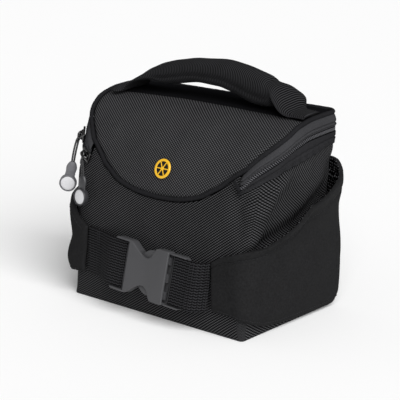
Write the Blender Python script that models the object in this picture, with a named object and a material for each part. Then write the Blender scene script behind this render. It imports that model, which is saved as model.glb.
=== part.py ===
"""Bicycle handlebar bag: cloth tub, zipped lid, padded handle, two side wings and a belt with a buckle.

Lengths below are in millimetres and are turned into metres when each mesh is made.
The bag faces -Y, its left wing is on -X, and it stands on its base.
"""
from math import cos, hypot, pi, radians, sin

import bmesh
import bpy
from mathutils import Matrix, Vector

for old in list(bpy.data.objects):
    bpy.data.objects.remove(old, do_unlink=True)

MM = 0.001
GAP = 0.3

# Driving sizes of the bag.
HALF_WIDTH = 107.5
HEIGHT = 199.0
DEPTH = 139.0
WALL = 2.5
LID_THICK = 3.0
PIPING_RADIUS = 2.2
TAPE_THICK = 1.4
TEETH_WIDTH = 4.6
WING_THICK = 4.5
WEBBING_WIDTH = 46.5
WEBBING_THICK = 1.8
BUCKLE_LENGTH = 92.4
BUCKLE_WIDTH = 51.4
BUCKLE_THICK = 10.0
GRIP_THICK = 25.0
CORD_RADIUS = 1.1
DISC_RADIUS = 8.6
BADGE_RADIUS = 9.5
PLATE_SIZE = (74.0, 7.0, 58.0)


def curve_of(rows, unit_in=1.0, unit_out=1.0):
    """A smooth function through rows of (input share, output share)."""
    xs = [row[0] * unit_in for row in rows]
    ys = [row[1] * unit_out for row in rows]
    last = len(xs) - 1
    steps = [(ys[i + 1] - ys[i]) / (xs[i + 1] - xs[i]) for i in range(last)]
    slopes = [steps[0]]
    for i in range(1, last):
        both = steps[i - 1] * steps[i]
        slopes.append(0.0 if both <= 0 else 2 * both / (steps[i - 1] + steps[i]))
    slopes.append(steps[-1])

    def value(x):
        x = min(max(x, xs[0]), xs[-1])
        i = 0
        while i < last - 1 and x > xs[i + 1]:
            i += 1
        width = xs[i + 1] - xs[i]
        t = (x - xs[i]) / width
        a = (2 * t**3 - 3 * t**2 + 1) * ys[i]
        b = (t**3 - 2 * t**2 + t) * width * slopes[i]
        c = (3 * t**2 - 2 * t**3) * ys[i + 1]
        d = (t**3 - t**2) * width * slopes[i + 1]
        return a + b + c + d

    return value


# Plan of the bag at each height. Columns: share of HEIGHT, share of the size named.
half_width = curve_of(
    [(0, 1.012), (0.04, 1.002), (0.2, 1.028), (0.45, 1.06), (0.7, 1.098), (0.88, 1.135), (1, 1.15)],
    HEIGHT, HALF_WIDTH,
)
front_y = curve_of(
    [(0, 0), (0.3, 0.022), (0.5, 0.043), (0.63, 0.065), (0.74, 0.115), (0.8, 0.158), (0.86, 0.194),
     (0.93, 0.216), (1, 0.237)],
    HEIGHT, DEPTH,
)
rear_y = curve_of([(0, 1), (0.3, 0.972), (0.7, 0.928), (1, 0.878)], HEIGHT, DEPTH)
front_round = curve_of([(0, 0.037), (0.2, 0.09), (0.45, 0.158), (0.7, 0.205), (1, 0.24)], HEIGHT, HALF_WIDTH)
rear_round = curve_of([(0, 0.037), (0.3, 0.074), (0.7, 0.1), (1, 0.11)], HEIGHT, HALF_WIDTH)
front_bulge = curve_of([(0, 0), (0.06, 0.026), (0.15, 0.036), (0.3, 0.026), (0.6, 0.022), (1, 0.02)], HEIGHT, DEPTH)
side_bulge = curve_of([(0, 0), (0.15, 0.02), (0.4, 0.03), (0.75, 0.022), (1, 0.005)], HEIGHT, HALF_WIDTH)


def skin(q, z, off=0.0):
    """Point on the outer face. q runs 0 front middle, 1-2 front corner, 2-3 side, 3-4 rear corner, 5 rear middle."""
    side = 1 if q >= 0 else -1
    a = abs(q)
    w, f, b, r, k = half_width(z), front_y(z), rear_y(z), front_round(z), rear_round(z)
    bulge = front_bulge(z)
    if a <= 1:
        x = a * (w - r)
        y = f - bulge * (1 - (x / w) ** 2)
        lean = bulge * 2 * x / w / w
        n = hypot(1, lean)
        nx, ny = lean / n, -1 / n
    elif a <= 2:
        t = (a - 1) * pi / 2
        x = w - r + r * sin(t)
        y = f + r - r * cos(t) - bulge * max(0, 1 - (x / w) ** 2) * cos(t)
        nx, ny = sin(t), -cos(t)
    elif a <= 3:
        t = a - 2
        start, end = f + r, b - k
        y = start + (end - start) * t
        x = w + side_bulge(z) * 4 * t * (1 - t)
        lean = side_bulge(z) * 4 * (1 - 2 * t) / (end - start)
        n = hypot(1, lean)
        nx, ny = 1 / n, -lean / n
    elif a <= 4:
        t = (a - 3) * pi / 2
        x, y = w - k + k * cos(t), b - k + k * sin(t)
        nx, ny = cos(t), sin(t)
    else:
        x, y = (w - k) * (5 - a), b
        nx, ny = 0.0, 1.0
    return Vector((side * (x + off * nx), y + off * ny, z))


# Seam and zip heights round the bag. Columns: q, share of HEIGHT.
piping_z = curve_of(
    [(0, 0.594), (0.15, 0.597), (0.29, 0.604), (0.43, 0.619), (0.56, 0.64), (0.65, 0.666), (0.77, 0.701),
     (0.85, 0.737), (1.05, 0.804), (1.35, 0.866), (1.82, 0.938), (2.12, 0.976), (2.5, 0.995), (3, 1), (5, 1)],
    1, HEIGHT,
)
zip_z = curve_of(
    [(0.9, 0.702), (1.03, 0.712), (1.25, 0.76), (1.49, 0.8), (1.94, 0.862), (2.4, 0.908), (3, 0.918), (5, 0.918)],
    1, HEIGHT,
)
tape_z = curve_of(
    [(0.9, 0.69), (1.03, 0.69), (1.25, 0.716), (1.6, 0.752), (2, 0.786), (2.4, 0.818), (3, 0.856), (5, 0.861)],
    1, HEIGHT,
)
FRONT_END = 0.9
ZIP_START = 1.0


def under_piping(q):
    """Height that clears the piping, measured square to its slope."""
    a = abs(q)
    here = skin(a, piping_z(a))
    slope = 0.0
    for step in (0.1, -0.1):
        run = skin(abs(a + step), piping_z(abs(a + step))) - here
        slope = max(slope, abs(run.z) / max(hypot(run.x, run.y), 0.01))
    return piping_z(a) - (PIPING_RADIUS + GAP + 0.45) * hypot(1, slope)


def rim_z(q):
    """Height of the tub's rim: under the piping at the front, under the zip elsewhere."""
    a = abs(q)
    front = under_piping(a)
    if a <= FRONT_END:
        return front
    t = min(1, (a - FRONT_END) / (ZIP_START - FRONT_END))
    return front * (1 - t) + tape_z(a) * t


def material(name, colour, rough, metal=0.0):
    made = bpy.data.materials.new(name)
    made.use_nodes = True
    shader = made.node_tree.nodes["Principled BSDF"]
    shader.inputs["Base Color"].default_value = (*colour, 1)
    shader.inputs["Roughness"].default_value = rough
    shader.inputs["Metallic"].default_value = metal
    return made


def finish(name, mesh_maker, colour, rough, smooth=True, metal=0.0):
    """One object from a bmesh held in millimetres."""
    mesh_maker.faces.ensure_lookup_table()
    bmesh.ops.recalc_face_normals(mesh_maker, faces=mesh_maker.faces)
    bmesh.ops.scale(mesh_maker, vec=(MM, MM, MM), verts=mesh_maker.verts)
    data = bpy.data.meshes.new(name)
    mesh_maker.to_mesh(data)
    mesh_maker.free()
    for face in data.polygons:
        face.use_smooth = smooth
    made = bpy.data.objects.new(name, data)
    bpy.context.scene.collection.objects.link(made)
    data.materials.append(material(name, colour, rough, metal))
    return made


def grid_solid(outer, inner, closed=False):
    """A closed body between two grids of points that have the same rows and columns."""
    made = bmesh.new()
    faces = []
    sheets = []
    for grid in (outer, inner):
        sheets.append([[made.verts.new(point) for point in row] for row in grid])
    rows, columns = len(outer), len(outer[0])
    wide = columns if closed else columns - 1
    for sheet in sheets:
        for i in range(rows - 1):
            for j in range(wide):
                k = (j + 1) % columns
                faces.append((sheet[i][j], sheet[i][k], sheet[i + 1][k], sheet[i + 1][j]))
    a, b = sheets
    for i in (0, rows - 1):
        for j in range(wide):
            k = (j + 1) % columns
            faces.append((a[i][j], a[i][k], b[i][k], b[i][j]))
    if not closed:
        for j in (0, columns - 1):
            for i in range(rows - 1):
                faces.append((a[i][j], a[i + 1][j], b[i + 1][j], b[i][j]))
    for face in faces:
        made.faces.new(face)
    return made


def thick_sheet(grid, thick):
    """Grids of the outer and inner points of a sheet, set apart along its own normals."""
    rows, columns = len(grid), len(grid[0])
    inner = []
    for i in range(rows):
        line = []
        for j in range(columns):
            up = grid[min(i + 1, rows - 1)][j] - grid[max(i - 1, 0)][j]
            across = grid[i][min(j + 1, columns - 1)] - grid[i][max(j - 1, 0)]
            line.append(grid[i][j] + across.cross(up).normalized() * -thick)
        inner.append(line)
    return grid, inner


def spread(start, end, count):
    return [start + (end - start) * i / count for i in range(count + 1)]


def band(name, stations, low, high, rows, inside, outside, colour, rough, smooth=True):
    """A strip on the bag's outer face. low and high give heights at q; inside and outside give offsets at q, share."""
    outer, inner = [], []
    for i in range(rows + 1):
        t = i / rows
        outer.append([skin(q, low(q) + (high(q) - low(q)) * t, outside(q, t)) for q in stations])
        inner.append([skin(q, low(q) + (high(q) - low(q)) * t, inside(q, t)) for q in stations])
    return finish(name, grid_solid(outer, inner), colour, rough, smooth)


BLACK_CLOTH = (0.028, 0.028, 0.030)
SIDE_STATIONS = [1.0, 1.1, 1.25, 1.4, 1.6, 1.8, 2.0, 2.2, 2.4, 2.6, 2.8, 3.0, 3.33, 3.66, 4.0, 4.35, 4.7, 5.0]
FRONT_STATIONS = [0.0, 0.14, 0.28, 0.42, 0.54, 0.65, 0.76, 0.84, 0.9]


def tub():
    """Hollow tub, open at the top."""
    right = FRONT_STATIONS + SIDE_STATIONS
    ring = right + [-q for q in right[-2:0:-1]]
    shares = [0.0, 0.012, 0.05, 0.12, 0.22, 0.34, 0.48, 0.62, 0.76, 0.88, 1.0]
    outer = [[skin(q, rim_z(q) * t) for q in ring] for t in shares]
    inner = [[skin(q, WALL + (rim_z(q) - WALL) * t, -WALL) for q in ring] for t in shares[0:1] + shares[2:]]
    made = bmesh.new()
    out_rows = [[made.verts.new(point) for point in row] for row in outer]
    in_rows = [[made.verts.new(point) for point in row] for row in inner]
    count = len(ring)
    for sheet in (out_rows, in_rows):
        for i in range(len(sheet) - 1):
            for j in range(count):
                k = (j + 1) % count
                made.faces.new((sheet[i][j], sheet[i][k], sheet[i + 1][k], sheet[i + 1][j]))
        made.faces.new(sheet[0])
    for j in range(count):
        k = (j + 1) % count
        made.faces.new((out_rows[-1][j], out_rows[-1][k], in_rows[-1][k], in_rows[-1][j]))
    finish("bag_body", made, BLACK_CLOTH, 0.85)


tub()

# Lid. It is stretched straight across between the two sides of the piping, with a slight crown.
BAND_START = 2.25
BAND_BOW = 6.0
BAND_END = 3.5
SEAM_SETBACK = PIPING_RADIUS + 0.55
LID_CROWN = 0.024 * DEPTH


def seam(q):
    """Middle of the piping at q."""
    return skin(q, piping_z(abs(q)), -0.4)


def inner_seam(q):
    """Edge of the lid beside the piping, set back square to it in the lid's own surface."""
    a = abs(q)
    ahead, behind = seam(a + 0.04), seam(a - 0.04) if a > 0.04 else seam(0) - (seam(0.04) - seam(0)) * 1.0
    tangent = (ahead - behind).normalized()
    if a < 0.06:
        tangent = Vector((1, 0, 0))
    rise = Vector((0, ahead.y - behind.y, ahead.z - behind.z))
    if a < 0.3 or rise.length < 0.3:
        rise = Vector((0, 0.25, 1)) if a < 1 else Vector((0, 1, 0))
    normal = Vector((1, 0, 0)).cross(rise.normalized())
    inward = normal.cross(tangent).normalized()
    if a > 2.9:
        inward = Vector((-1, 0, 0)) if a <= 3 else (Vector((-1, 0, 0)) * (4 - a) + Vector((0, -1, 0)) * (a - 3)).normalized()
    place = seam(a) + inward * SEAM_SETBACK
    return Vector((place.x if q >= 0 else -place.x, place.y, place.z))


def cross_row(q, crown, columns):
    """Row of the lid from side to side. Near the rear band it bows back in the middle, as the band's seam does."""
    end = inner_seam(q)
    bow = BAND_BOW * max(0, 1 - abs(q - BAND_START) / 0.6) ** 2
    row = []
    for i in range(columns + 1):
        x = end.x * (2 * i / columns - 1)
        bend = 1 - (x / end.x) ** 2
        row.append(Vector((x, end.y + (bow - crown * 0.5) * bend, end.z + crown * bend)))
    return row


LID_COLUMNS = 12


def lid():
    first = 0.28
    rows = []
    arc = []
    for i in range(LID_COLUMNS + 1):
        arc.append(inner_seam(first * (2 * i / LID_COLUMNS - 1)))
    rows.append(arc)
    for q in (0.42, 0.54, 0.65, 0.76, 0.84, 0.9, 1.0, 1.1, 1.25, 1.4, 1.6, 1.8, 2.03, BAND_START):
        share = (q - first) / (BAND_START - first)
        rows.append(cross_row(q, LID_CROWN * 4 * share * (1.15 - share), LID_COLUMNS))
    finish("lid_panel", grid_solid(*thick_sheet(rows, LID_THICK)), BLACK_CLOTH, 0.85)


lid()


def top_band():
    rows = []
    for q in (BAND_START + 0.02, 2.45, 2.6, 2.8, 3.0, 3.33, 3.66):
        row = cross_row(q, LID_CROWN * 0.6, LID_COLUMNS)
        rows.append(row)
    finish("lid_top_band", grid_solid(*thick_sheet(rows, LID_THICK)), (0.02, 0.02, 0.021), 0.7)


top_band()


def tube(name, points, radius, closed, colour, rough, sides=2):
    """A cord as a curve with a round section."""
    data = bpy.data.curves.new(name, "CURVE")
    data.dimensions = "3D"
    data.bevel_depth = radius * MM
    data.bevel_resolution = sides
    data.use_fill_caps = True
    data.resolution_u = 1
    line = data.splines.new("POLY")
    line.points.add(len(points) - 1)
    for place, point in zip(line.points, points):
        place.co = (point.x * MM, point.y * MM, point.z * MM, 1)
    line.use_cyclic_u = closed
    line.use_smooth = True
    made = bpy.data.objects.new(name, data)
    bpy.context.scene.collection.objects.link(made)
    data.materials.append(material(name, colour, rough))
    return made


def piping():
    right = FRONT_STATIONS + SIDE_STATIONS
    ring = right + [-q for q in right[-2:0:-1]]
    tube("lid_piping", [seam(q) for q in ring], PIPING_RADIUS, True, (0.035, 0.035, 0.037), 0.6, 1)


piping()

ROUND = SIDE_STATIONS + [-q for q in SIDE_STATIONS[-2::-1]]


def zip_high(q):
    return zip_z(abs(q)) + TEETH_WIDTH / 2


def zip_low(q):
    return zip_z(abs(q)) - TEETH_WIDTH / 2


band(
    "lid_side_band", ROUND,
    lambda q: zip_high(q) + GAP + 0.2, under_piping, 3,
    lambda q, t: 2.2 - 1.8 * t + 0.8 * sin(pi * t) - TAPE_THICK, lambda q, t: 2.2 - 1.8 * t + 0.8 * sin(pi * t),
    BLACK_CLOTH, 0.8,
)
band(
    "zip_teeth", ROUND, zip_low, zip_high, 2,
    lambda q, t: 0.3, lambda q, t: 1.4 + 1.4 * sin(pi * t), (0.05, 0.05, 0.052), 0.45,
)
band(
    "zip_tape_lower", ROUND,
    lambda q: rim_z(q) + GAP + 0.2, lambda q: zip_low(q) - GAP - 0.2, 2,
    lambda q, t: 0.5 + 1.1 * t - TAPE_THICK, lambda q, t: 0.5 + 1.1 * t, BLACK_CLOTH, 0.8,
)

# Padded handle. Columns: share of HALF_WIDTH across, share of HEIGHT up, half thickness, half width (shares of GRIP_THICK).
HANDLE_Y = 0.6 * DEPTH
HANDLE_ROWS = [
    (-1.05, 1.008, 0.055, 0.94), (-0.98, 1.01, 0.09, 0.98), (-0.88, 1.014, 0.07, 0.95), (-0.82, 1.029, 0.17, 0.8),
    (-0.72, 1.053, 0.33, 0.6), (-0.58, 1.083, 0.44, 0.52), (-0.38, 1.113, 0.49, 0.5), (-0.12, 1.136, 0.5, 0.5),
    (0.14, 1.146, 0.5, 0.5), (0.35, 1.138, 0.5, 0.5), (0.55, 1.114, 0.5, 0.5), (0.7, 1.088, 0.49, 0.5),
    (0.785, 1.071, 0.46, 0.55), (0.845, 1.053, 0.38, 0.66), (0.885, 1.033, 0.22, 0.76), (0.925, 1.014, 0.08, 0.84),
    (0.98, 1.008, 0.06, 0.92), (1.05, 1.008, 0.055, 0.98),
]


def band_top(x):
    """Height of the top band's outer face at x, where it is highest under the handle."""
    heights = []
    for q in (2.2, 2.4, 2.6, 2.8, 3.0):
        end = inner_seam(q)
        heights.append(end.z + LID_CROWN * 0.6 * max(0, 1 - (x / end.x) ** 2))
    return max(heights)


def handle():
    across = curve_of([(i, row[0]) for i, row in enumerate(HANDLE_ROWS)], 1, HALF_WIDTH)
    up = curve_of([(i, row[1]) for i, row in enumerate(HANDLE_ROWS)], 1, HEIGHT)
    thick = curve_of([(i, row[2]) for i, row in enumerate(HANDLE_ROWS)], 1, GRIP_THICK)
    wide = curve_of([(i, row[3]) for i, row in enumerate(HANDLE_ROWS)], 1, GRIP_THICK)
    made = bmesh.new()
    rings = []
    steps = spread(0, len(HANDLE_ROWS) - 1, 30)
    for s in steps:
        ahead = Vector((across(s + 0.05) - across(s - 0.05), 0, up(s + 0.05) - up(s - 0.05))).normalized()
        normal = Vector((-ahead.z, 0, ahead.x))
        height = max(up(s), band_top(across(s)) + GAP + thick(s))
        ring = []
        for i in range(14):
            a = 2 * pi * i / 14
            y = wide(s) * (abs(cos(a)) ** 0.8) * (1 if cos(a) > 0 else -1)
            n = thick(s) * (abs(sin(a)) ** 0.8) * (1 if sin(a) > 0 else -1)
            ring.append(made.verts.new(Vector((across(s), HANDLE_Y + y, height)) + normal * n))
        rings.append(ring)
    for a, b in zip(rings, rings[1:]):
        for i in range(14):
            k = (i + 1) % 14
            made.faces.new((a[i], a[k], b[k], b[i]))
    made.faces.new(rings[0])
    made.faces.new(rings[-1])
    finish("handle", made, (0.03, 0.03, 0.031), 0.8)


handle()

# Wings. Columns: q, lower edge and upper edge (shares of HEIGHT), clearance from the bag (share of WING_THICK).
RIGHT_WING = [
    (0.745, 0.121, 0.352, 0.35), (0.8, 0.121, 0.37, 0.35), (0.9, 0.119, 0.396, 0.4), (1.2, 0.108, 0.424, 0.45),
    (1.5, 0.1, 0.438, 0.5), (1.8, 0.09, 0.448, 0.5), (2.0, 0.078, 0.465, 0.55), (2.15, 0.048, 0.495, 0.7),
    (2.32, 0.031, 0.543, 0.8), (2.45, 0.024, 0.595, 0.8), (2.6, 0.02, 0.608, 0.75), (2.77, 0.016, 0.636, 0.6),
    (2.9, 0.014, 0.67, 0.45), (3.0, 0.013, 0.7, 0.35), (3.3, 0.012, 0.748, 0.25), (3.65, 0.016, 0.765, 0.2),
    (4.0, 0.03, 0.765, 0.15), (4.08, 0.04, 0.765, 0.12), (4.16, 0.05, 0.765, 0.1),
]
LEFT_WING = [
    (0.87, 0.138, 0.374, 0.3), (0.95, 0.136, 0.395, 0.35), (1.1, 0.131, 0.43, 0.3), (1.3, 0.126, 0.465, 0.25),
    (1.5, 0.122, 0.49, 0.25), (1.8, 0.115, 0.515, 0.3), (2.1, 0.09, 0.54, 0.5), (2.32, 0.06, 0.565, 0.7),
    (2.45, 0.045, 0.595, 0.8), (2.6, 0.03, 0.608, 0.75), (2.77, 0.02, 0.636, 0.6), (2.9, 0.015, 0.67, 0.45),
    (3.0, 0.013, 0.7, 0.35), (3.3, 0.012, 0.748, 0.25), (3.65, 0.016, 0.765, 0.2), (4.0, 0.03, 0.765, 0.15),
    (4.08, 0.04, 0.765, 0.12), (4.16, 0.05, 0.765, 0.1),
]


def wing(name, rows, side, gather):
    low = curve_of([(row[0], row[1]) for row in rows], 1, HEIGHT)
    high = curve_of([(row[0], row[2]) for row in rows], 1, HEIGHT)
    clear = curve_of([(row[0], row[3]) for row in rows], 1, WING_THICK)
    start, end = rows[0][0], rows[-1][0]
    stations = [q for q in spread(start, 3.0, 16)] + [3.2, 3.4, 3.6, 3.8, 4.0, 4.06, 4.11, end]
    lines = 8
    outer, inner = [], []
    for i in range(lines + 1):
        t = i / lines
        out_line, in_line = [], []
        for q in stations:
            z = low(q) + (high(q) - low(q)) * t
            free = clear(q) + gather(q, t) * WING_THICK
            out_line.append(skin(side * q, z, free + WING_THICK))
            in_line.append(skin(side * q, z, free))
        outer.append(out_line)
        inner.append(in_line)
    finish(name, grid_solid(outer, inner), (0.022, 0.022, 0.023), 0.75)


def right_gather(q, t):
    """The upper edge stands away from the bag beside the zip end, and most near the rear corner."""
    near = max(0, 1 - abs(q - 2.8) / 0.9)
    corner = max(0, 1 - abs(q - 3.3) / 0.75)
    roll = 0.5 * max(0, 1 - abs(t - 0.86) / 0.3) + 0.6 * max(0, min(1, (0.75 - t) / 0.3))
    return 0.9 * near * t**2 + corner * roll + 0.12 * sin(pi * t) * max(0, 1 - abs(q - 1.4) / 0.8)


def left_gather(q, t):
    """Two soft rolls at the front corner, one low and one near the top edge."""
    near = max(0, 1 - abs(q - 1.55) / 0.75)
    low = max(0, 1 - abs(t - 0.2) / 0.27)
    top = max(0, 1 - abs(t - 0.86) / 0.36)
    return near * (0.95 * low + 0.85 * top) + 0.5 * t**2 * max(0, 1 - abs(q - 2.8) / 0.8)


wing("wing_right", RIGHT_WING, 1, right_gather)
wing("wing_left", LEFT_WING, -1, left_gather)

# Belt. The buckle lies in one flat plane. The webbing leaves that plane and follows the bag at its ends.
BUCKLE_LEAN = radians(11.25)
BUCKLE_DROOP = radians(2.87)
BUCKLE_PLACE = Vector((0.067 * HALF_WIDTH, -0.048 * DEPTH, 0.2372 * HEIGHT))
ALONG = Vector((cos(BUCKLE_DROOP), 0, -sin(BUCKLE_DROOP)))
OUT = Vector((0, -cos(BUCKLE_LEAN), sin(BUCKLE_LEAN)))
OUT = (OUT - ALONG * OUT.dot(ALONG)).normalized()
ACROSS = OUT.cross(ALONG) * -1
if ACROSS.z < 0:
    ACROSS = ACROSS * -1


def buckle_point(s, t, n):
    return BUCKLE_PLACE + ALONG * s + ACROSS * t + OUT * n


def face_q(x, z):
    return x / (half_width(z) - front_round(z))


def webbing(name, rows, flat_share):
    """Columns of rows: share of HALF_WIDTH along, share of HEIGHT for the middle, clearance in webbing thicknesses."""
    middle = curve_of([(row[0], row[1]) for row in rows], HALF_WIDTH, HEIGHT)
    clear = curve_of([(row[0], row[2]) for row in rows], HALF_WIDTH, WEBBING_THICK)
    start, end = rows[0][0] * HALF_WIDTH, rows[-1][0] * HALF_WIDTH
    outer, inner = [], []
    for i in range(7):
        t = (i / 6 - 0.5) * WEBBING_WIDTH
        out_line, in_line = [], []
        for x in spread(start, end, 14):
            z = middle(x) + t
            flat = min(1, max(0, (abs(x) / HALF_WIDTH - flat_share) / 0.24))
            flat = flat * flat * (3 - 2 * flat)
            for line, thick in ((out_line, WEBBING_THICK), (in_line, 0)):
                on_bag = skin(face_q(x, z), z, clear(x) + thick)
                on_plane = buckle_point((x - BUCKLE_PLACE.x) / cos(BUCKLE_DROOP), t, clear(x) + thick)
                line.append(on_plane * (1 - flat) + on_bag * flat)
        outer.append(out_line)
        inner.append(in_line)
    return finish(name, grid_solid(outer, inner), (0.03, 0.03, 0.031), 0.75)


webbing(
    "webbing_left",
    [(-0.79, 0.258, 0.7), (-0.7, 0.2565, 1.0), (-0.6, 0.2552, 1.6), (-0.5, 0.2538, 2.6), (-0.4, 0.2518, 3.1),
     (-0.3, 0.2491, 3.1), (-0.22, 0.247, 3.1)],
    0.4,
)
webbing(
    "webbing_right",
    [(0.342, 0.2302, 3.1), (0.42, 0.2276, 3.1), (0.5, 0.2255, 3.1), (0.56, 0.2275, 2.6), (0.62, 0.232, 1.7),
     (0.675, 0.2365, 0.9)],
    0.5,
)


def block(made, s, t, n):
    """A box in the buckle's frame from ranges along, across and outward."""
    points = []
    for a in s:
        for b in t:
            for c in n:
                points.append(made.verts.new(buckle_point(a, b, c)))
    for face in ((0, 1, 3, 2), (4, 6, 7, 5), (0, 4, 5, 1), (2, 3, 7, 6), (0, 2, 6, 4), (1, 5, 7, 3)):
        made.faces.new([points[i] for i in face])


def plate(made, outline, low, high):
    """A plate with the outline given as (along, across) between two outward distances."""
    bottom = [made.verts.new(buckle_point(s, t, low)) for s, t in outline]
    top = [made.verts.new(buckle_point(s, t, high)) for s, t in outline]
    made.faces.new(bottom)
    made.faces.new(top)
    for i in range(len(outline)):
        k = (i + 1) % len(outline)
        made.faces.new((bottom[i], bottom[k], top[k], top[i]))


def helper(name, maker):
    bmesh.ops.recalc_face_normals(maker, faces=maker.faces)
    bmesh.ops.scale(maker, vec=(MM, MM, MM), verts=maker.verts)
    data = bpy.data.meshes.new(name)
    maker.to_mesh(data)
    maker.free()
    made = bpy.data.objects.new(name, data)
    bpy.context.scene.collection.objects.link(made)
    made.hide_render = True
    made.display_type = "WIRE"
    return made


def cut(target, tool, operation="DIFFERENCE"):
    change = target.modifiers.new(operation.lower(), "BOOLEAN")
    change.operation = operation
    change.solver = "EXACT"
    change.object = tool


# Outline of the receiver, as shares of BUCKLE_LENGTH along and of half BUCKLE_WIDTH across.
HALF_BUCKLE = BUCKLE_WIDTH / 2
RECEIVER = [
    (-0.5, 0.93), (-0.485, 1.0), (-0.3, 1.0), (-0.265, 0.96), (-0.2, 0.83), (-0.135, 0.72), (-0.085, 0.665),
    (-0.05, 0.66), (-0.01, 0.71), (0.02, 0.81), (0.04, 0.92), (0.058, 1.0), (0.215, 1.0), (0.228, 0.97),
]
PLASTIC = (0.055, 0.055, 0.057)


def receiver():
    """Receiver: a flat box with a notch on each long edge, a frame for the webbing, and a pocket for the prongs."""
    upper = [(s * BUCKLE_LENGTH, t * HALF_BUCKLE) for s, t in RECEIVER]
    lower = [(s, -t) for s, t in reversed(upper)]
    made = bmesh.new()
    plate(made, upper + lower, 0, BUCKLE_THICK)
    body = finish("buckle_female", made, PLASTIC, 0.5, smooth=False)
    pocket = bmesh.new()
    block(pocket, (-0.17 * BUCKLE_LENGTH, 0.3 * BUCKLE_LENGTH), (-0.91 * HALF_BUCKLE, 0.91 * HALF_BUCKLE), (2, 8))
    cut(body, helper("cut_pocket", pocket))
    slot = bmesh.new()
    wide = WEBBING_WIDTH / 2 + 0.55
    block(slot, (-0.435 * BUCKLE_LENGTH, -0.305 * BUCKLE_LENGTH), (-wide, wide), (5.0, 30))
    cut(body, helper("cut_webbing_seat", slot))
    under = bmesh.new()
    block(under, (-0.6 * BUCKLE_LENGTH, -0.32 * BUCKLE_LENGTH), (-wide, wide), (4.8, 30))
    cut(body, helper("cut_webbing_entry", under))
    gap = bmesh.new()
    block(gap, (-0.36 * BUCKLE_LENGTH, -0.306 * BUCKLE_LENGTH), (-wide, wide), (-5, 30))
    cut(body, helper("cut_webbing_gap", gap))
    rounding = body.modifiers.new("round_edges", "BEVEL")
    rounding.width = 0.8 * MM
    rounding.segments = 1
    rounding.limit_method = "ANGLE"
    rounding.angle_limit = radians(50)


receiver()

# Outline of the plug's upper half, in the same shares. It reaches into the receiver with one prong on each side.
PLUG = [
    (0.24, 0.84), (0.24, 0.96), (0.26, 0.985), (0.46, 0.985), (0.49, 0.95), (0.5, 0.88),
]
PRONG = [
    (-0.15, 0.44), (-0.15, 0.56), (-0.12, 0.68), (-0.07, 0.8), (-0.02, 0.86), (0.02, 0.82), (0.06, 0.7), (0.13, 0.74),
    (0.18, 0.8), (0.255, 0.8), (0.255, 0.5), (0.14, 0.5), (0.04, 0.46), (-0.06, 0.46),
]


def plug():
    """Plug: a frame for the webbing, a middle tongue, and two prongs seen in the notches."""
    upper = [(s * BUCKLE_LENGTH, t * HALF_BUCKLE) for s, t in PLUG]
    lower = [(s, -t) for s, t in reversed(upper)]
    made = bmesh.new()
    plate(made, lower + upper, 0.8, BUCKLE_THICK - 1.2)
    body = finish("buckle_male", made, PLASTIC, 0.5, smooth=False)
    rounding = body.modifiers.new("round_edges", "BEVEL")
    rounding.width = 0.6 * MM
    rounding.segments = 1
    rounding.limit_method = "ANGLE"
    rounding.angle_limit = radians(50)
    for side in (1, -1):
        prong = bmesh.new()
        outline = [(s * BUCKLE_LENGTH, side * t * HALF_BUCKLE) for s, t in PRONG]
        plate(prong, outline, 2.5, 7.5)
        cut(body, helper("add_prong_" + ("upper" if side > 0 else "lower"), prong), "UNION")
    tongue = bmesh.new()
    block(tongue, (-0.05 * BUCKLE_LENGTH, 0.25 * BUCKLE_LENGTH), (-0.16 * HALF_BUCKLE, 0.16 * HALF_BUCKLE), (3, 7))
    cut(body, helper("add_tongue", tongue), "UNION")
    wide = WEBBING_WIDTH / 2 + 0.55
    seat = bmesh.new()
    block(seat, (0.272 * BUCKLE_LENGTH, 0.6 * BUCKLE_LENGTH), (-wide, wide), (4.8, 30))
    cut(body, helper("cut_plug_seat", seat))
    gap = bmesh.new()
    block(gap, (0.276 * BUCKLE_LENGTH, 0.345 * BUCKLE_LENGTH), (-wide, wide), (-5, 30))
    cut(body, helper("cut_plug_gap", gap))


plug()


def rounded_box(name, place, size, turn, colour, rough, radius, metal=0.0, segments=2):
    made = bmesh.new()
    bmesh.ops.create_cube(made, size=1)
    bmesh.ops.scale(made, vec=size, verts=made.verts)
    bmesh.ops.bevel(
        made, geom=list(made.edges), offset=radius, segments=segments, profile=0.5, affect="EDGES", material=-1,
    )
    bmesh.ops.transform(made, matrix=Matrix.Translation(place) @ turn.to_4x4(), verts=made.verts)
    return finish(name, made, colour, rough, True, metal)


def frame_at(q, z):
    """Turn whose axes are along the bag, outward, and up at this place of the outer face."""
    along = (skin(q + 0.02, z) - skin(q - 0.02, z)).normalized()
    up = (skin(q, z + 1) - skin(q, z - 1)).normalized()
    out = along.cross(up).normalized()
    up = out.cross(along).normalized()
    return Matrix((along, out, up)).transposed()


def zip_furniture():
    """The tab across the zip's end and the two sliders."""
    q = 0.97
    low = rim_z(q)
    place = skin(q, (low + piping_z(q)) / 2, 6.3)
    place.z -= 4.5
    turn = frame_at(q, low) @ Matrix.Rotation(radians(42), 3, "Y")
    rounded_box("zip_end_tab", place, (12.0, 1.6, 3.4), turn, BLACK_CLOTH, 0.7, 0.5)
    places = []
    for name, at in (("zip_slider_upper", -1.42), ("zip_slider_lower", -1.08)):
        z = zip_z(abs(at))
        centre = skin(at, z, 5.6)
        along = (skin(at - 0.06, zip_z(abs(at) + 0.06)) - skin(at + 0.06, zip_z(abs(at) - 0.06))).normalized()
        out = (skin(at, z, 5) - skin(at, z, 0)).normalized()
        side = along.cross(out).normalized()
        turn = Matrix((along, side.cross(along), side)).transposed()
        rounded_box(name, centre, (11.5, 4.6, 8.6), turn, (0.06, 0.06, 0.062), 0.35, 1.2, 0.6)
        places.append(centre + out * (2.3 + CORD_RADIUS + 0.6))
    return places


SLIDERS = zip_furniture()

# Pull cords, tips and reflective discs. Places are in shares of HALF_WIDTH, DEPTH and HEIGHT.


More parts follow.
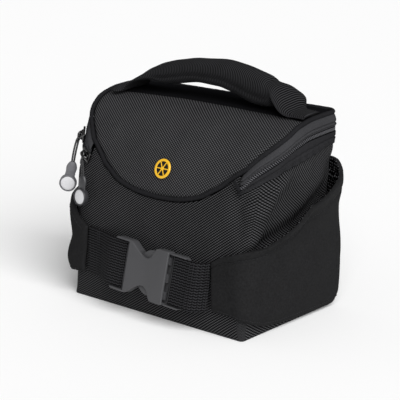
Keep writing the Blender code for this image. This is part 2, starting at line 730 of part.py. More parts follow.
def place_of(x, y, z):
    return Vector((x * HALF_WIDTH, y * DEPTH, z * HEIGHT))


PULL_ONE = {
    "anchor": SLIDERS[0],
    "bend": place_of(-1.125, 0.1, 0.739),
    "neck": place_of(-1.082, 0.072, 0.668),
    "disc": place_of(-1.139, 0.058, 0.556),
    "face": Vector((0.63, -0.73, 0.2)),
}
PULL_TWO = {
    "anchor": SLIDERS[1],
    "bend": place_of(-0.87, 0.0, 0.709),
    "neck": place_of(-0.842, -0.014, 0.629),
    "disc": place_of(-0.855, -0.03, 0.522),
    "face": Vector((-0.1, -1.0, 0.05)),
}


def pull(number, spec, strands):
    """A cord with a rubber tip that holds a round reflective disc."""
    points = []
    down = (spec["disc"] - spec["neck"]).normalized()
    face = (spec["face"] - down * spec["face"].dot(down)).normalized()
    side = down.cross(face).normalized()
    stations = 9
    for i in range(stations + 1):
        t = i / stations
        a = spec["anchor"] * (1 - t) + spec["bend"] * t
        b = spec["bend"] * (1 - t) + spec["neck"] * t
        points.append(a * (1 - t) + b * t)
    points[-1] = spec["neck"] - down * 0.7
    points[-2] = spec["neck"] - down * 3.0
    tube(f"pull_cord_{number}", points, CORD_RADIUS, False, (0.09, 0.09, 0.092), 0.6, 2)
    # Tip: a tapered neck that spreads into a round holder. Columns: share down, half width, half thickness.
    length = (spec["disc"] - spec["neck"]).length
    rows = [(0, 2.6, 2.0), (0.08, 4.3, 2.5), (0.3, 5.4, 2.6), (0.45, 4.9, 2.6), (0.8, 5.0, 2.6)]
    made = bmesh.new()
    rings = []
    for share, wide, thick in rows:
        ring = []
        for k in range(12):
            a = 2 * pi * k / 12
            ring.append(made.verts.new(
                spec["neck"] + down * (share * length) + side * (wide * cos(a)) + face * (thick * sin(a))))
        rings.append(ring)
    for a, b in zip(rings, rings[1:]):
        for k in range(12):
            m = (k + 1) % 12
            made.faces.new((a[k], a[m], b[m], b[k]))
    made.faces.new(rings[0])
    made.faces.new(rings[-1])
    tip = finish(f"pull_tip_{number}", made, (0.12, 0.12, 0.122), 0.6)
    turn = Matrix((side, down, face)).transposed().to_4x4()
    holder = bmesh.new()
    bmesh.ops.create_cone(
        holder, cap_ends=True, segments=28, radius1=DISC_RADIUS, radius2=DISC_RADIUS, depth=6.0,
    )
    bmesh.ops.transform(holder, matrix=Matrix.Translation(spec["disc"]) @ turn, verts=holder.verts)
    cut(tip, helper(f"add_holder_{number}", holder), "UNION")
    recess = bmesh.new()
    bmesh.ops.create_cone(
        recess, cap_ends=True, segments=28, radius1=DISC_RADIUS - 1.1, radius2=DISC_RADIUS - 1.1, depth=4.0,
    )
    bmesh.ops.transform(recess, matrix=Matrix.Translation(spec["disc"] + face * 3.6) @ turn, verts=recess.verts)
    cut(tip, helper(f"cut_recess_{number}", recess))
    disc = bmesh.new()
    bmesh.ops.create_cone(
        disc, cap_ends=True, segments=28, radius1=DISC_RADIUS - 1.4, radius2=DISC_RADIUS - 1.4, depth=1.2,
    )
    bmesh.ops.transform(disc, matrix=Matrix.Translation(spec["disc"] + face * 2.5) @ turn, verts=disc.verts)
    finish(f"reflector_disc_{number}", disc, (0.62, 0.63, 0.64), 0.4)


pull(1, PULL_ONE, 1)
pull(2, PULL_TWO, 2)


def badge():
    """A small plain round badge on the front of the lid."""
    low, high = cross_row(0.65, LID_CROWN, 2)[1], cross_row(0.86, LID_CROWN, 2)[1]
    up = (high - low).normalized()
    out = Vector((1, 0, 0)).cross(up).normalized()
    place = (low + high) / 2 + out * 1.6 + Vector((0.035 * HALF_WIDTH, 0, 0))
    turn = Matrix((Vector((1, 0, 0)), up, out)).transposed().to_4x4()
    made = bmesh.new()
    bmesh.ops.create_cone(
        made, cap_ends=True, segments=32, radius1=BADGE_RADIUS, radius2=BADGE_RADIUS - 0.3, depth=1.4,
    )
    bmesh.ops.transform(made, matrix=Matrix.Translation(place) @ turn, verts=made.verts)
    finish("badge", made, (0.75, 0.55, 0.02), 0.4)


badge()


def mounting_plate():
    """The plain moulded plate on the hidden back panel."""
    z = 0.66 * HEIGHT
    low, high = skin(5, z - 20), skin(5, z + 20)
    up = (high - low).normalized()
    out = Vector((0, up.z, -up.y))
    turn = Matrix((Vector((1, 0, 0)), out, up)).transposed()
    place = skin(5, z) + out * (PLATE_SIZE[1] / 2 + GAP + 0.25)
    rounded_box("mounting_plate", place, PLATE_SIZE, turn, (0.04, 0.04, 0.042), 0.5, 2.0)


mounting_plate()


LOOSE = ("pull_", "reflector_")


def centre_all():
    """Moves every piece so that the middle of the box round all but the loose pulls is over the origin, its bottom at 0."""
    bpy.context.view_layer.update()
    graph = bpy.context.evaluated_depsgraph_get()
    corners = []
    for one in bpy.data.objects:
        if one.hide_render or one.name.startswith(LOOSE):
            continue
        shape = one.evaluated_get(graph).to_mesh()
        corners.extend(one.matrix_world @ vertex.co for vertex in shape.vertices)
    middle = [(min(c[i] for c in corners) + max(c[i] for c in corners)) / 2 for i in range(3)]
    bottom = min(c[2] for c in corners)
    shift = Matrix.Translation((-middle[0], -middle[1], -bottom))
    for one in bpy.data.objects:
        one.data.transform(shift)


centre_all()
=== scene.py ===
"""Handlebar bag of woven nylon, with a padded lid and handle, neoprene side wings and a buckled belt.

Places are worked out in millimetres in the bag's own frame: x from the bag's middle, y back from the front's
bottom edge, z up from the base. They are turned into the row frame's metres as each mesh is finished.
"""

from math import cos, exp, hypot, pi, radians, sin, sqrt

import bmesh
import bpy
from mathutils import Matrix, Vector, noise


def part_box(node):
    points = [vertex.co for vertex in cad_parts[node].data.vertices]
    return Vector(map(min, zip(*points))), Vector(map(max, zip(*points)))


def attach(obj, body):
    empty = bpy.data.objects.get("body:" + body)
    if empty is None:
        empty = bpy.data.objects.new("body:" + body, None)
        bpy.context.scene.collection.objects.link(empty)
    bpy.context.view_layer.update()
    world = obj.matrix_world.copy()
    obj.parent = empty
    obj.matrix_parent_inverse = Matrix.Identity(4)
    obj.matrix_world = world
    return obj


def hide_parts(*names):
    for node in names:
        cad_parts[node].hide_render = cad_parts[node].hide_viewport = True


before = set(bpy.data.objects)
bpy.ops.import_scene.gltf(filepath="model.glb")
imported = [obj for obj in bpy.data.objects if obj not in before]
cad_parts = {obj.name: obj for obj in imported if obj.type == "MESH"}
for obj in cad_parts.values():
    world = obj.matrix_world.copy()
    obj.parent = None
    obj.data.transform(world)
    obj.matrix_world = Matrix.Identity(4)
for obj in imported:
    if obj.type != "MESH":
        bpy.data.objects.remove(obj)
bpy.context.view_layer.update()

MM = 0.001
HALF_WIDTH = 107.5
HEIGHT = 199.0
DEPTH = 139.0
WALL = 2.5
LID_THICK = 3.0
PIPING_RADIUS = 2.2
TAPE_THICK = 1.4
TEETH_WIDTH = 4.6
WING_THICK = 4.5
WEBBING_WIDTH = 46.5
WEBBING_THICK = 1.8
BUCKLE_LENGTH = 92.4
BUCKLE_WIDTH = 51.4
BUCKLE_THICK = 10.0
GRIP_THICK = 25.0
STRAND_RADIUS = 0.95
DISC_RADIUS = 8.6
BADGE_RADIUS = 9.5
GAP = 0.3

tub_low, tub_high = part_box("bag_body")
SHIFT = Vector(((tub_low[0] + tub_high[0]) / 2 / MM, tub_high[1] / MM - DEPTH, tub_low[2] / MM))
TO_ROW = Matrix.Scale(MM, 4) @ Matrix.Translation(SHIFT)

# Camera: a long lens, 40.5 degrees round to the bag's left side and 15.3 degrees above the floor.
CAMERA_TURN = radians(40.5)
CAMERA_RISE = radians(15.27)
CAMERA_AWAY = 1277.0
CAMERA_AIM = Vector((58.0, 0.0, 126.3))
CAMERA_LENS = 126.0


def camera():
    data = bpy.data.cameras.new("photo_camera")
    data.sensor_width = 36.0
    data.lens = CAMERA_LENS
    data.clip_end = 50.0
    made = bpy.data.objects.new("photo_camera", data)
    bpy.context.scene.collection.objects.link(made)
    level = cos(CAMERA_RISE)
    back = Vector((sin(CAMERA_TURN) * level, -cos(CAMERA_TURN) * level, sin(CAMERA_RISE)))
    made.location = TO_ROW @ (CAMERA_AIM + back * CAMERA_AWAY)
    made.rotation_euler = back.to_track_quat("Z", "Y").to_euler()
    bpy.context.scene.camera = made


camera()


def curve_of(rows, unit_in=1.0, unit_out=1.0):
    """A smooth function through rows of (input share, output share)."""
    xs = [row[0] * unit_in for row in rows]
    ys = [row[1] * unit_out for row in rows]
    last = len(xs) - 1
    steps = [(ys[i + 1] - ys[i]) / (xs[i + 1] - xs[i]) for i in range(last)]
    slopes = [steps[0]]
    for i in range(1, last):
        both = steps[i - 1] * steps[i]
        slopes.append(0.0 if both <= 0 else 2 * both / (steps[i - 1] + steps[i]))
    slopes.append(steps[-1])

    def value(x):
        x = min(max(x, xs[0]), xs[-1])
        i = 0
        while i < last - 1 and x > xs[i + 1]:
            i += 1
        width = xs[i + 1] - xs[i]
        t = (x - xs[i]) / width
        a = (2 * t**3 - 3 * t**2 + 1) * ys[i]
        b = (t**3 - 2 * t**2 + t) * width * slopes[i]
        c = (3 * t**2 - 2 * t**3) * ys[i + 1]
        d = (t**3 - t**2) * width * slopes[i + 1]
        return a + b + c + d

    return value


def ease(low, high, x):
    """0 below low, 1 above high, with a soft start and end between them."""
    t = min(1.0, max(0.0, (x - low) / (high - low)))
    return t * t * (3 - 2 * t)


def bump_at(x, centre, reach):
    """1 at the centre, falling softly to 0 at the reach."""
    return 1 - ease(0, reach, abs(x - centre))


def ripple(x, y, size, seed):
    """Smooth unevenness from -1 to 1 with lumps of about this size."""
    return noise.noise(Vector((x / size, y / size, seed)))


def spread(start, end, count):
    """Even steps from start to end, with both ends in."""
    return [start + (end - start) * i / count for i in range(count + 1)]


# Plan of the bag at each height. Columns: share of HEIGHT, share of the size named.
half_width = curve_of(
    [(0, 1.012), (0.04, 1.002), (0.2, 1.028), (0.45, 1.06), (0.7, 1.098), (0.88, 1.135), (1, 1.15)],
    HEIGHT, HALF_WIDTH,
)
front_y = curve_of(
    [(0, 0), (0.3, 0.022), (0.5, 0.043), (0.63, 0.065), (0.74, 0.115), (0.8, 0.158), (0.86, 0.194),
     (0.93, 0.216), (1, 0.237)],
    HEIGHT, DEPTH,
)
rear_y = curve_of([(0, 1), (0.3, 0.972), (0.7, 0.928), (1, 0.878)], HEIGHT, DEPTH)
front_round = curve_of([(0, 0.037), (0.2, 0.09), (0.45, 0.158), (0.7, 0.205), (1, 0.24)], HEIGHT, HALF_WIDTH)
rear_round = curve_of([(0, 0.037), (0.3, 0.074), (0.7, 0.1), (1, 0.11)], HEIGHT, HALF_WIDTH)
front_bulge = curve_of(
    [(0, 0), (0.06, 0.026), (0.15, 0.036), (0.3, 0.026), (0.6, 0.022), (1, 0.02)], HEIGHT, DEPTH,
)
side_bulge = curve_of([(0, 0), (0.15, 0.02), (0.4, 0.03), (0.75, 0.022), (1, 0.005)], HEIGHT, HALF_WIDTH)


def skin(q, z, off=0.0):
    """Point on the bag's outer face at q and height z, or off it by this much.

    q is 0 at the front's middle, 1 to 2 round the front corner, 2 to 3 along the side, 3 to 4 round the rear
    corner and 5 at the rear's middle. On the left it is negative.
    """
    side = 1 if q >= 0 else -1
    a = abs(q)
    w, f, b, r, k = half_width(z), front_y(z), rear_y(z), front_round(z), rear_round(z)
    bulge = front_bulge(z)
    if a <= 1:
        x = a * (w - r)
        y = f - bulge * (1 - (x / w) ** 2)
        lean = bulge * 2 * x / w / w
        n = hypot(1, lean)
        nx, ny = lean / n, -1 / n
    elif a <= 2:
        t = (a - 1) * pi / 2
        x = w - r + r * sin(t)
        y = f + r - r * cos(t) - bulge * max(0, 1 - (x / w) ** 2) * cos(t)
        nx, ny = sin(t), -cos(t)
    elif a <= 3:
        t = a - 2
        start, end = f + r, b - k
        y = start + (end - start) * t
        x = w + side_bulge(z) * 4 * t * (1 - t)
        lean = side_bulge(z) * 4 * (1 - 2 * t) / (end - start)
        n = hypot(1, lean)
        nx, ny = 1 / n, -lean / n
    elif a <= 4:
        t = (a - 3) * pi / 2
        x, y = w - k + k * cos(t), b - k + k * sin(t)
        nx, ny = cos(t), sin(t)
    else:
        x, y = (w - k) * (5 - a), b
        nx, ny = 0.0, 1.0
    return Vector((side * (x + off * nx), y + off * ny, z))


def out_from(q, z):
    """Way out of the bag's face, square to it in plan."""
    return (skin(q, z, 5) - skin(q, z, 0)).normalized()


# Seam and zip heights round the bag. Columns: q, share of HEIGHT.
piping_z = curve_of(
    [(0, 0.594), (0.15, 0.597), (0.29, 0.604), (0.43, 0.619), (0.56, 0.64), (0.65, 0.666), (0.77, 0.701),
     (0.85, 0.737), (1.05, 0.804), (1.35, 0.866), (1.82, 0.938), (2.12, 0.976), (2.5, 0.995), (3, 1), (5, 1)],
    1, HEIGHT,
)
zip_z = curve_of(
    [(0.9, 0.702), (1.03, 0.712), (1.25, 0.76), (1.49, 0.8), (1.94, 0.862), (2.4, 0.908), (3, 0.918),
     (5, 0.918)],
    1, HEIGHT,
)
tape_z = curve_of(
    [(0.9, 0.69), (1.03, 0.69), (1.25, 0.716), (1.6, 0.752), (2, 0.786), (2.4, 0.818), (3, 0.856),
     (5, 0.861)],
    1, HEIGHT,
)
# The rim runs under the piping up to the first q and under the zip from the second.
FRONT_END = 0.955
ZIP_START = 0.985


def under_piping(q):
    """Height that clears the piping, measured square to its slope."""
    a = abs(q)
    here = skin(a, piping_z(a))
    slope = 0.0
    for step in (0.1, -0.1):
        run = skin(abs(a + step), piping_z(abs(a + step))) - here
        slope = max(slope, abs(run.z) / max(hypot(run.x, run.y), 0.01))
    return piping_z(a) - (PIPING_RADIUS + GAP + 0.45) * hypot(1, slope)


def rim_z(q):
    """Height of the tub's rim: under the piping at the front, under the zip elsewhere."""
    a = abs(q)
    front = under_piping(a)
    if a <= FRONT_END:
        return front
    t = min(1, (a - FRONT_END) / (ZIP_START - FRONT_END))
    return front * (1 - t) + tape_z(a) * t


ARC_STEPS = 20


def arc_table():
    """Distance round the outer face at half height, in steps of q."""
    found, total, last = [0.0], 0.0, skin(0, HEIGHT / 2)
    for i in range(1, 5 * ARC_STEPS + 1):
        here = skin(i / ARC_STEPS, HEIGHT / 2)
        total += (here - last).length
        found.append(total)
        last = here
    return found


ARC = arc_table()


def arc(q):
    """Distance round the bag from the front middle to q, along the cloth at half height."""
    at = min(abs(q), 4.9999) * ARC_STEPS
    i = int(at)
    return (ARC[i] + (ARC[i + 1] - ARC[i]) * (at - i)) * (1 if q >= 0 else -1)


def linear(code):
    """A colour socket's value from an sRGB hex value."""
    found = []
    for i in (1, 3, 5):
        v = int(code[i:i + 2], 16) / 255
        found.append(v / 12.92 if v <= 0.04045 else ((v + 0.055) / 1.055) ** 2.4)
    return (*found, 1.0)


def add(tree, kind, values=None, links=None, **settings):
    """A node with its settings, its input values and its links."""
    node = tree.nodes.new(kind)
    for name, value in settings.items():
        setattr(node, name, value)
    for key, value in (values or {}).items():
        node.inputs[key].default_value = value
    for key, source in (links or {}).items():
        tree.links.new(source, node.inputs[key])
    return node


def shader_of(name, **sockets):
    """A new material and its Principled shader, with constants set on the shader's own sockets."""
    made = bpy.data.materials.new(name)
    made.use_nodes = True
    shader = made.node_tree.nodes["Principled BSDF"]
    for key, value in sockets.items():
        shader.inputs[key.replace("_", " ")].default_value = value
    return made, made.node_tree, shader


def wave(tree, vector, along, across):
    """Sine of the cloth's own map, with periods given in metres along each direction."""
    turns = (2 * pi / along if along else 0.0, 2 * pi / across if across else 0.0, 0.0)
    phase = add(tree, "ShaderNodeVectorMath", {1: turns}, {0: vector}, operation="DOT_PRODUCT")
    return add(tree, "ShaderNodeMath", {}, {0: phase.outputs["Value"]}, operation="SINE").outputs[0]


def cloth_map(tree, wobble, size):
    """The piece's own map in metres of cloth, with threads that wander by wobble over lumps of this size."""
    flat = add(tree, "ShaderNodeUVMap", uv_map="cloth").outputs[0]
    lumps = add(tree, "ShaderNodeTexNoise", {"Scale": 1 / size, "Detail": 1.0}, {"Vector": flat})
    centred = add(
        tree, "ShaderNodeVectorMath", {1: (0.5, 0.5, 0.5)}, {0: lumps.outputs["Color"]}, operation="SUBTRACT",
    )
    moved = add(
        tree, "ShaderNodeVectorMath", {1: (wobble, wobble, 0)}, {0: centred.outputs[0], 2: flat},
        operation="MULTIPLY_ADD",
    )
    return moved.outputs[0]


def surface(
    tree, shader, height, dark, light, bump, depth, patch=0.2, patch_size=0.03, rough=(0.7, 0.85), peak=1.0,
):
    """Colour, roughness and bump from one height from 0 to 1, with soft patches of paler and darker cloth."""
    raised = add(tree, "ShaderNodeMath", {1: peak}, {0: height}, operation="POWER", use_clamp=True).outputs[0]
    place = add(tree, "ShaderNodeTexCoord").outputs["Object"]
    patches = add(tree, "ShaderNodeTexNoise", {"Scale": 1 / patch_size, "Detail": 3.0}, {"Vector": place})
    mixed = add(
        tree, "ShaderNodeMix", {6: linear(dark), 7: linear(light)}, {0: raised}, data_type="RGBA",
        clamp_factor=True,
    ).outputs[2]
    worn = {"Value": patches.outputs["Fac"]}
    shade = add(tree, "ShaderNodeMapRange", {"To Min": 1 - patch, "To Max": 1 + patch}, worn).outputs[0]
    final = add(tree, "ShaderNodeVectorMath", {}, {0: mixed, "Scale": shade}, operation="SCALE").outputs[0]
    tree.links.new(final, shader.inputs["Base Color"])
    roughness = add(tree, "ShaderNodeMapRange", {"To Min": rough[0], "To Max": rough[1]}, worn).outputs[0]
    tree.links.new(roughness, shader.inputs["Roughness"])
    if bump:
        relief = add(tree, "ShaderNodeBump", {"Strength": bump, "Distance": depth}, {"Height": height})
        tree.links.new(relief.outputs[0], shader.inputs["Normal"])


def to_unit(tree, value, low=-1.0, high=1.0):
    """A value between low and high, as a height from 0 to 1."""
    return add(tree, "ShaderNodeMapRange", {"From Min": low, "From Max": high}, {"Value": value}).outputs[0]


# Cells of the basket weave, as counted in the photograph. The threads inside a cell are too fine to show.
WEAVE_ALONG = 2 * 1.78 * MM
WEAVE_UP = 2 * 1.27 * MM


def woven_nylon_painted_glints(name, dark, light):
    """Coated 1680-denier nylon: heavy flat yarns in a tight twill, its slanting glints painted into the colour.
    """
    made, tree, shader = shader_of(
        name, Sheen_Weight=0.005, Sheen_Roughness=0.5, IOR=1.53, Specular_IOR_Level=0.03,
    )
    flat = cloth_map(tree, 0.25 * MM, 14 * MM)
    main = wave(tree, flat, WEAVE_ALONG, WEAVE_UP)
    other = wave(tree, flat, WEAVE_ALONG, -WEAVE_UP)
    weak = add(tree, "ShaderNodeMath", {1: 0.45}, {0: other}, operation="MULTIPLY").outputs[0]
    both = add(tree, "ShaderNodeMath", {1: 0.9}, {0: main, 2: weak}, operation="MULTIPLY_ADD").outputs[0]
    # Painted highlight and shade: pale specks on the raised yarns stand for glints, and the hollows are
    # darkened.
    surface(tree, shader, to_unit(tree, both, -1.2, 1.2), dark, light, 0.8, 0.5 * MM, peak=2.4)
    return made


def ribbed_tape_painted_highlights(name, dark, light, pitch):
    """Grosgrain polyester: fine cords across the tape, each with a soft rounded top."""
    made, tree, shader = shader_of(
        name, Sheen_Weight=0.005, Sheen_Roughness=0.4, IOR=1.55, Specular_IOR_Level=0.03,
    )
    flat = cloth_map(tree, 0.3 * MM, 9 * MM)
    # Painted highlight and shade: the cords' tops are painted pale and the grooves between them dark.
    surface(tree, shader, to_unit(tree, wave(tree, flat, pitch, 0)), dark, light, 0.7, 0.4 * MM, peak=1.5)
    return made


def plain_tape(name, dark, light):
    """Close-woven polyester binding: a matte, even surface with the faint grain of its threads."""
    made, tree, shader = shader_of(name, Sheen_Weight=0.0, IOR=1.55, Specular_IOR_Level=0.0)
    flat = cloth_map(tree, 0.2 * MM, 6 * MM)
    grain = add(tree, "ShaderNodeTexNoise", {"Scale": 1 / (1.1 * MM), "Detail": 2.0}, {"Vector": flat})
    surface(tree, shader, grain.outputs["Fac"], dark, light, 0.35, 0.25 * MM)
    return made


def neoprene(name, dark, light):
    """Foam rubber faced with knitted jersey: soft and even, with a fine pile that pales at its edges."""
    made, tree, shader = shader_of(
        name, Sheen_Weight=0.005, Sheen_Roughness=0.6, IOR=1.5, Specular_IOR_Level=0.02,
    )
    place = add(tree, "ShaderNodeTexCoord").outputs["Object"]
    pile = add(
        tree, "ShaderNodeTexNoise", {"Scale": 1 / (2.0 * MM), "Detail": 4.0, "Roughness": 0.75},
        {"Vector": place},
    )
    surface(tree, shader, pile.outputs["Fac"], dark, light, 0.25, 0.25 * MM, patch=0.15, patch_size=0.02)
    return made


def air_mesh(name):
    """Spacer mesh lining: open round cells in rows, dark between paler threads."""
    made, tree, shader = shader_of(name, IOR=1.5, Specular_IOR_Level=0.02)
    flat = cloth_map(tree, 0.2 * MM, 8 * MM)
    cells = add(tree, "ShaderNodeTexVoronoi", {"Scale": 1 / (3.2 * MM), "Randomness": 0.25}, {"Vector": flat})
    threads = to_unit(tree, cells.outputs["Distance"], 0.5, 0.62)
    surface(tree, shader, threads, "#010101", "#5a5a5c", 0.9, 0.8 * MM)
    return made


# Spacing of the webbing's ribs, and half the length in which their yarns lean one way.
WEBBING_RIB = 2.7 * MM
WEBBING_PICK = 2.4 * MM


def webbing_painted_highlights(name, dark, light):
    """Nylon webbing: ribs along the strap, each a plait of yarns that lean one way and then the other."""
    made, tree, shader = shader_of(
        name, Sheen_Weight=0.005, Sheen_Roughness=0.4, IOR=1.53, Specular_IOR_Level=0.03,
    )
    flat = cloth_map(tree, 0.3 * MM, 8 * MM)
    parts = add(tree, "ShaderNodeSeparateXYZ", {}, {0: flat})
    along, up = parts.outputs["X"], parts.outputs["Y"]
    turn = add(tree, "ShaderNodeMath", {1: WEBBING_PICK}, {0: along}, operation="PINGPONG").outputs[0]
    slide = add(tree, "ShaderNodeMath", {1: 0.4}, {0: turn, 2: up}, operation="MULTIPLY_ADD").outputs[0]
    cords = add(tree, "ShaderNodeMath", {1: 2 * pi / WEBBING_RIB}, {0: slide}, operation="MULTIPLY").outputs[0]
    ridge = add(tree, "ShaderNodeMath", {}, {0: cords}, operation="SINE").outputs[0]
    picks = wave(tree, flat, WEBBING_PICK, 0)
    both = add(tree, "ShaderNodeMath", {1: 0.3}, {0: picks, 2: ridge}, operation="MULTIPLY_ADD").outputs[0]
    # Painted highlight and shade: the ribs' tops are painted pale and the dips between them dark.
    surface(tree, shader, to_unit(tree, both, -1.3, 1.3), dark, light, 0.7, 0.4 * MM, peak=1.6)
    return made


def moulded(name, dark, light, rough, grain, depth, **sockets):
    """Moulded plastic or rubber: one even colour with the mould's fine spark-eroded grain and slight wear."""
    made, tree, shader = shader_of(name, **sockets)
    place = add(tree, "ShaderNodeTexCoord").outputs["Object"]
    spots = add(tree, "ShaderNodeTexNoise", {"Scale": 1 / grain, "Detail": 3.0}, {"Vector": place})
    surface(
        tree, shader, spots.outputs["Fac"], dark, light, 0.15, depth, patch=0.06, patch_size=0.015,
        rough=(rough - 0.06, rough + 0.06),
    )
    return made


BODY_CLOTH = woven_nylon_painted_glints("coated_woven_nylon_body", "#010101", "#4e4e50")
LID_CLOTH = woven_nylon_painted_glints("coated_woven_nylon_lid", "#131314", "#555557")
BAND_CLOTH = plain_tape("polyester_band", "#202022", "#434345")
TAPE_CLOTH = plain_tape("polyester_zip_tape", "#141415", "#303032")
# Painted shade: the top band's tape is black, made darker still to stand for the handle's shade over it.
DARK_TAPE = plain_tape("polyester_top_band_painted_shade", "#0a0a0b", "#18181a")
PIPING_CLOTH = plain_tape("bias_binding", "#0f0f10", "#2a2a2c")
HANDLE_CLOTH = ribbed_tape_painted_highlights("grosgrain_handle", "#030303", "#343436", 2.1 * MM)
WING_CLOTH = neoprene("jersey_faced_neoprene", "#090909", "#2a2a2b")
WING_LINING = air_mesh("spacer_mesh_lining")
WEBBING = webbing_painted_highlights("nylon_webbing", "#030303", "#323234")
THREAD = moulded(
    "bonded_nylon_thread", "#161617", "#2a2a2c", 0.6, 0.5 * MM, 0.1 * MM, IOR=1.53, Specular_IOR_Level=0.08,
)
ACETAL = moulded(
    "moulded_acetal", "#3d3d3f", "#464648", 0.5, 0.35 * MM, 0.05 * MM, IOR=1.48, Specular_IOR_Level=0.3,
)
COIL = moulded(
    "polyester_zip_coil", "#262628", "#4c4c50", 0.45, 0.4 * MM, 0.05 * MM, IOR=1.55, Specular_IOR_Level=0.3,
)
SLIDER = moulded(
    "black_enamelled_zinc", "#020202", "#050505", 0.22, 0.5 * MM, 0.03 * MM, IOR=1.5, Coat_Weight=0.6,
    Coat_Roughness=0.12,
)
RUBBER_PALE = moulded("moulded_pvc_pale", "#58585b", "#66666a", 0.5, 0.4 * MM, 0.05 * MM, IOR=1.53)
RUBBER_DARK = moulded("moulded_pvc_dark", "#232325", "#333336", 0.45, 0.4 * MM, 0.05 * MM, IOR=1.53)
STRAND = ribbed_tape_painted_highlights("braided_cord", "#1c1c1d", "#585859", 1.6 * MM)
PLATE = moulded(
    "moulded_polyamide", "#0a0a0b", "#141415", 0.5, 0.5 * MM, 0.08 * MM, IOR=1.53, Specular_IOR_Level=0.4,
)
ENAMEL_YELLOW = moulded("yellow_enamel", "#d8a41c", "#e6b62c", 0.3, 0.6 * MM, 0.02 * MM, IOR=1.5)
ENAMEL_BLACK = moulded("black_enamel", "#060606", "#0d0d0e", 0.3, 0.6 * MM, 0.02 * MM, IOR=1.5)
REFLECTOR = moulded("retroreflective_film", "#b4b4b6", "#d0d0d2", 0.35, 0.8 * MM, 0.05 * MM, IOR=1.5)


def round_off(made, edges, offset, segments=1):
    """Rounds these edges over, or with one segment cuts them off flat."""
    bmesh.ops.bevel(
        made, geom=list(edges), offset=offset, segments=segments, profile=0.5, affect="EDGES", material=-1,
    )


def close_ends(made):
    """Closes every open end of a tube with one flat face."""
    bmesh.ops.holes_fill(made, edges=[e for e in made.edges if e.is_boundary], sides=0)


def join(made, other):
    """Adds the other bmesh to this one and frees it."""
    data = bpy.data.meshes.new("join")
    other.to_mesh(data)
    other.free()
    made.from_mesh(data)
    bpy.data.meshes.remove(data)


def axes(*ways):
    """The turn that lays x, y and z along these three ways."""
    return Matrix(ways).transposed().to_4x4()


def rounded_box(size, matrix, edge=0.0, segments=2):
    """A box about its own middle, with its edges rounded and then put in its place."""
    made = bmesh.new()
    bmesh.ops.create_cube(made, size=1)
    bmesh.ops.scale(made, vec=size, verts=made.verts)
    if edge:
        round_off(made, made.edges, edge, segments)
    bmesh.ops.transform(made, matrix=matrix, verts=made.verts)
    return made


def turned(profile, steps):
    """A solid turned about z, from rows of (distance out, height)."""
    made = bmesh.new()
    verts = [made.verts.new(Vector((r, 0, h))) for r, h in profile]
    edges = [made.edges.new(pair) for pair in zip(verts, verts[1:])]
    bmesh.ops.spin(
        made, geom=verts + edges, angle=2 * pi, steps=steps, axis=(0, 0, 1), cent=(0, 0, 0), use_merge=True,
    )
    bmesh.ops.remove_doubles(made, verts=made.verts, dist=0.001)
    bmesh.ops.recalc_face_normals(made, faces=made.faces)
    return made


def mesh_object(name, made):
    """A new object in the scene with this bmesh as its mesh."""
    data = bpy.data.meshes.new(name)
    made.to_mesh(data)
    made.free()
    piece = bpy.data.objects.new(name, data)
    bpy.context.scene.collection.objects.link(piece)
    return piece


def keep(name, made, materials, nodes=(), smooth=True, flip=False):
    """Finishes a bmesh held in millimetres as a piece of the scene, in the row frame's metres."""
    if flip:
        bmesh.ops.reverse_faces(made, faces=made.faces)
    bmesh.ops.transform(made, matrix=TO_ROW, verts=made.verts)
    piece = mesh_object(name, made)
    for face in piece.data.polygons:
        face.use_smooth = smooth
    for finish in materials:
        piece.data.materials.append(finish)
    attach(piece, "root")
    if nodes:
        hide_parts(*nodes)
    return piece


def wall(piece, thick, lining=0):
    """Gives a sheet its thickness, inward from the face that shows."""
    change = piece.modifiers.new("wall", "SOLIDIFY")
    change.thickness = thick * MM
    change.offset = -1
    change.material_offset = lining
    return piece


def soften(piece):
    """Rounds a sheet's facets away."""
    change = piece.modifiers.new("soften", "SUBSURF")
    change.levels = 1
    change.render_levels = 1


def laid_grid(us, vs, place, cloth_at=None, wrap=False, middle=None):
    """A grid whose points are laid by place(u, v), with a map of the cloth in metres.

    The map runs along each row from its middle one and up each column, unless cloth_at(u, v, point) gives it.
    """
    made = bmesh.new()
    bmesh.ops.create_grid(made, x_segments=len(us) - 1, y_segments=len(vs) - 1, size=1)
    points = [[place(u, v) for u in us] for v in vs]
    start = len(us) // 2 if middle is None else middle
    spans, rises = [], [[0.0] * len(us)]
    for row in points:
        line = [0.0] * len(us)
        for j in range(start + 1, len(us)):
            line[j] = line[j - 1] + (row[j] - row[j - 1]).length
        for j in range(start - 1, -1, -1):
            line[j] = line[j + 1] - (row[j + 1] - row[j]).length
        spans.append(line)
    for low, high in zip(points, points[1:]):
        rises.append([rises[-1][j] + (high[j] - low[j]).length for j in range(len(us))])
    layer = made.loops.layers.uv.new("cloth")
    spots = {}
    for vert in made.verts:
        j = round((vert.co.x + 1) / 2 * (len(us) - 1))
        i = round((vert.co.y + 1) / 2 * (len(vs) - 1))
        spots[vert] = (i, j)
    for face in made.faces:
        for loop in face.loops:
            i, j = spots[loop.vert]
            flat = (spans[i][j], rises[i][j]) if cloth_at is None else cloth_at(us[j], vs[i], points[i][j])
            loop[layer].uv = (flat[0] * MM, flat[1] * MM)
    for vert, (i, j) in spots.items():
        vert.co = points[i][j]
    if wrap:
        bmesh.ops.remove_doubles(made, verts=made.verts, dist=0.01)
    return made


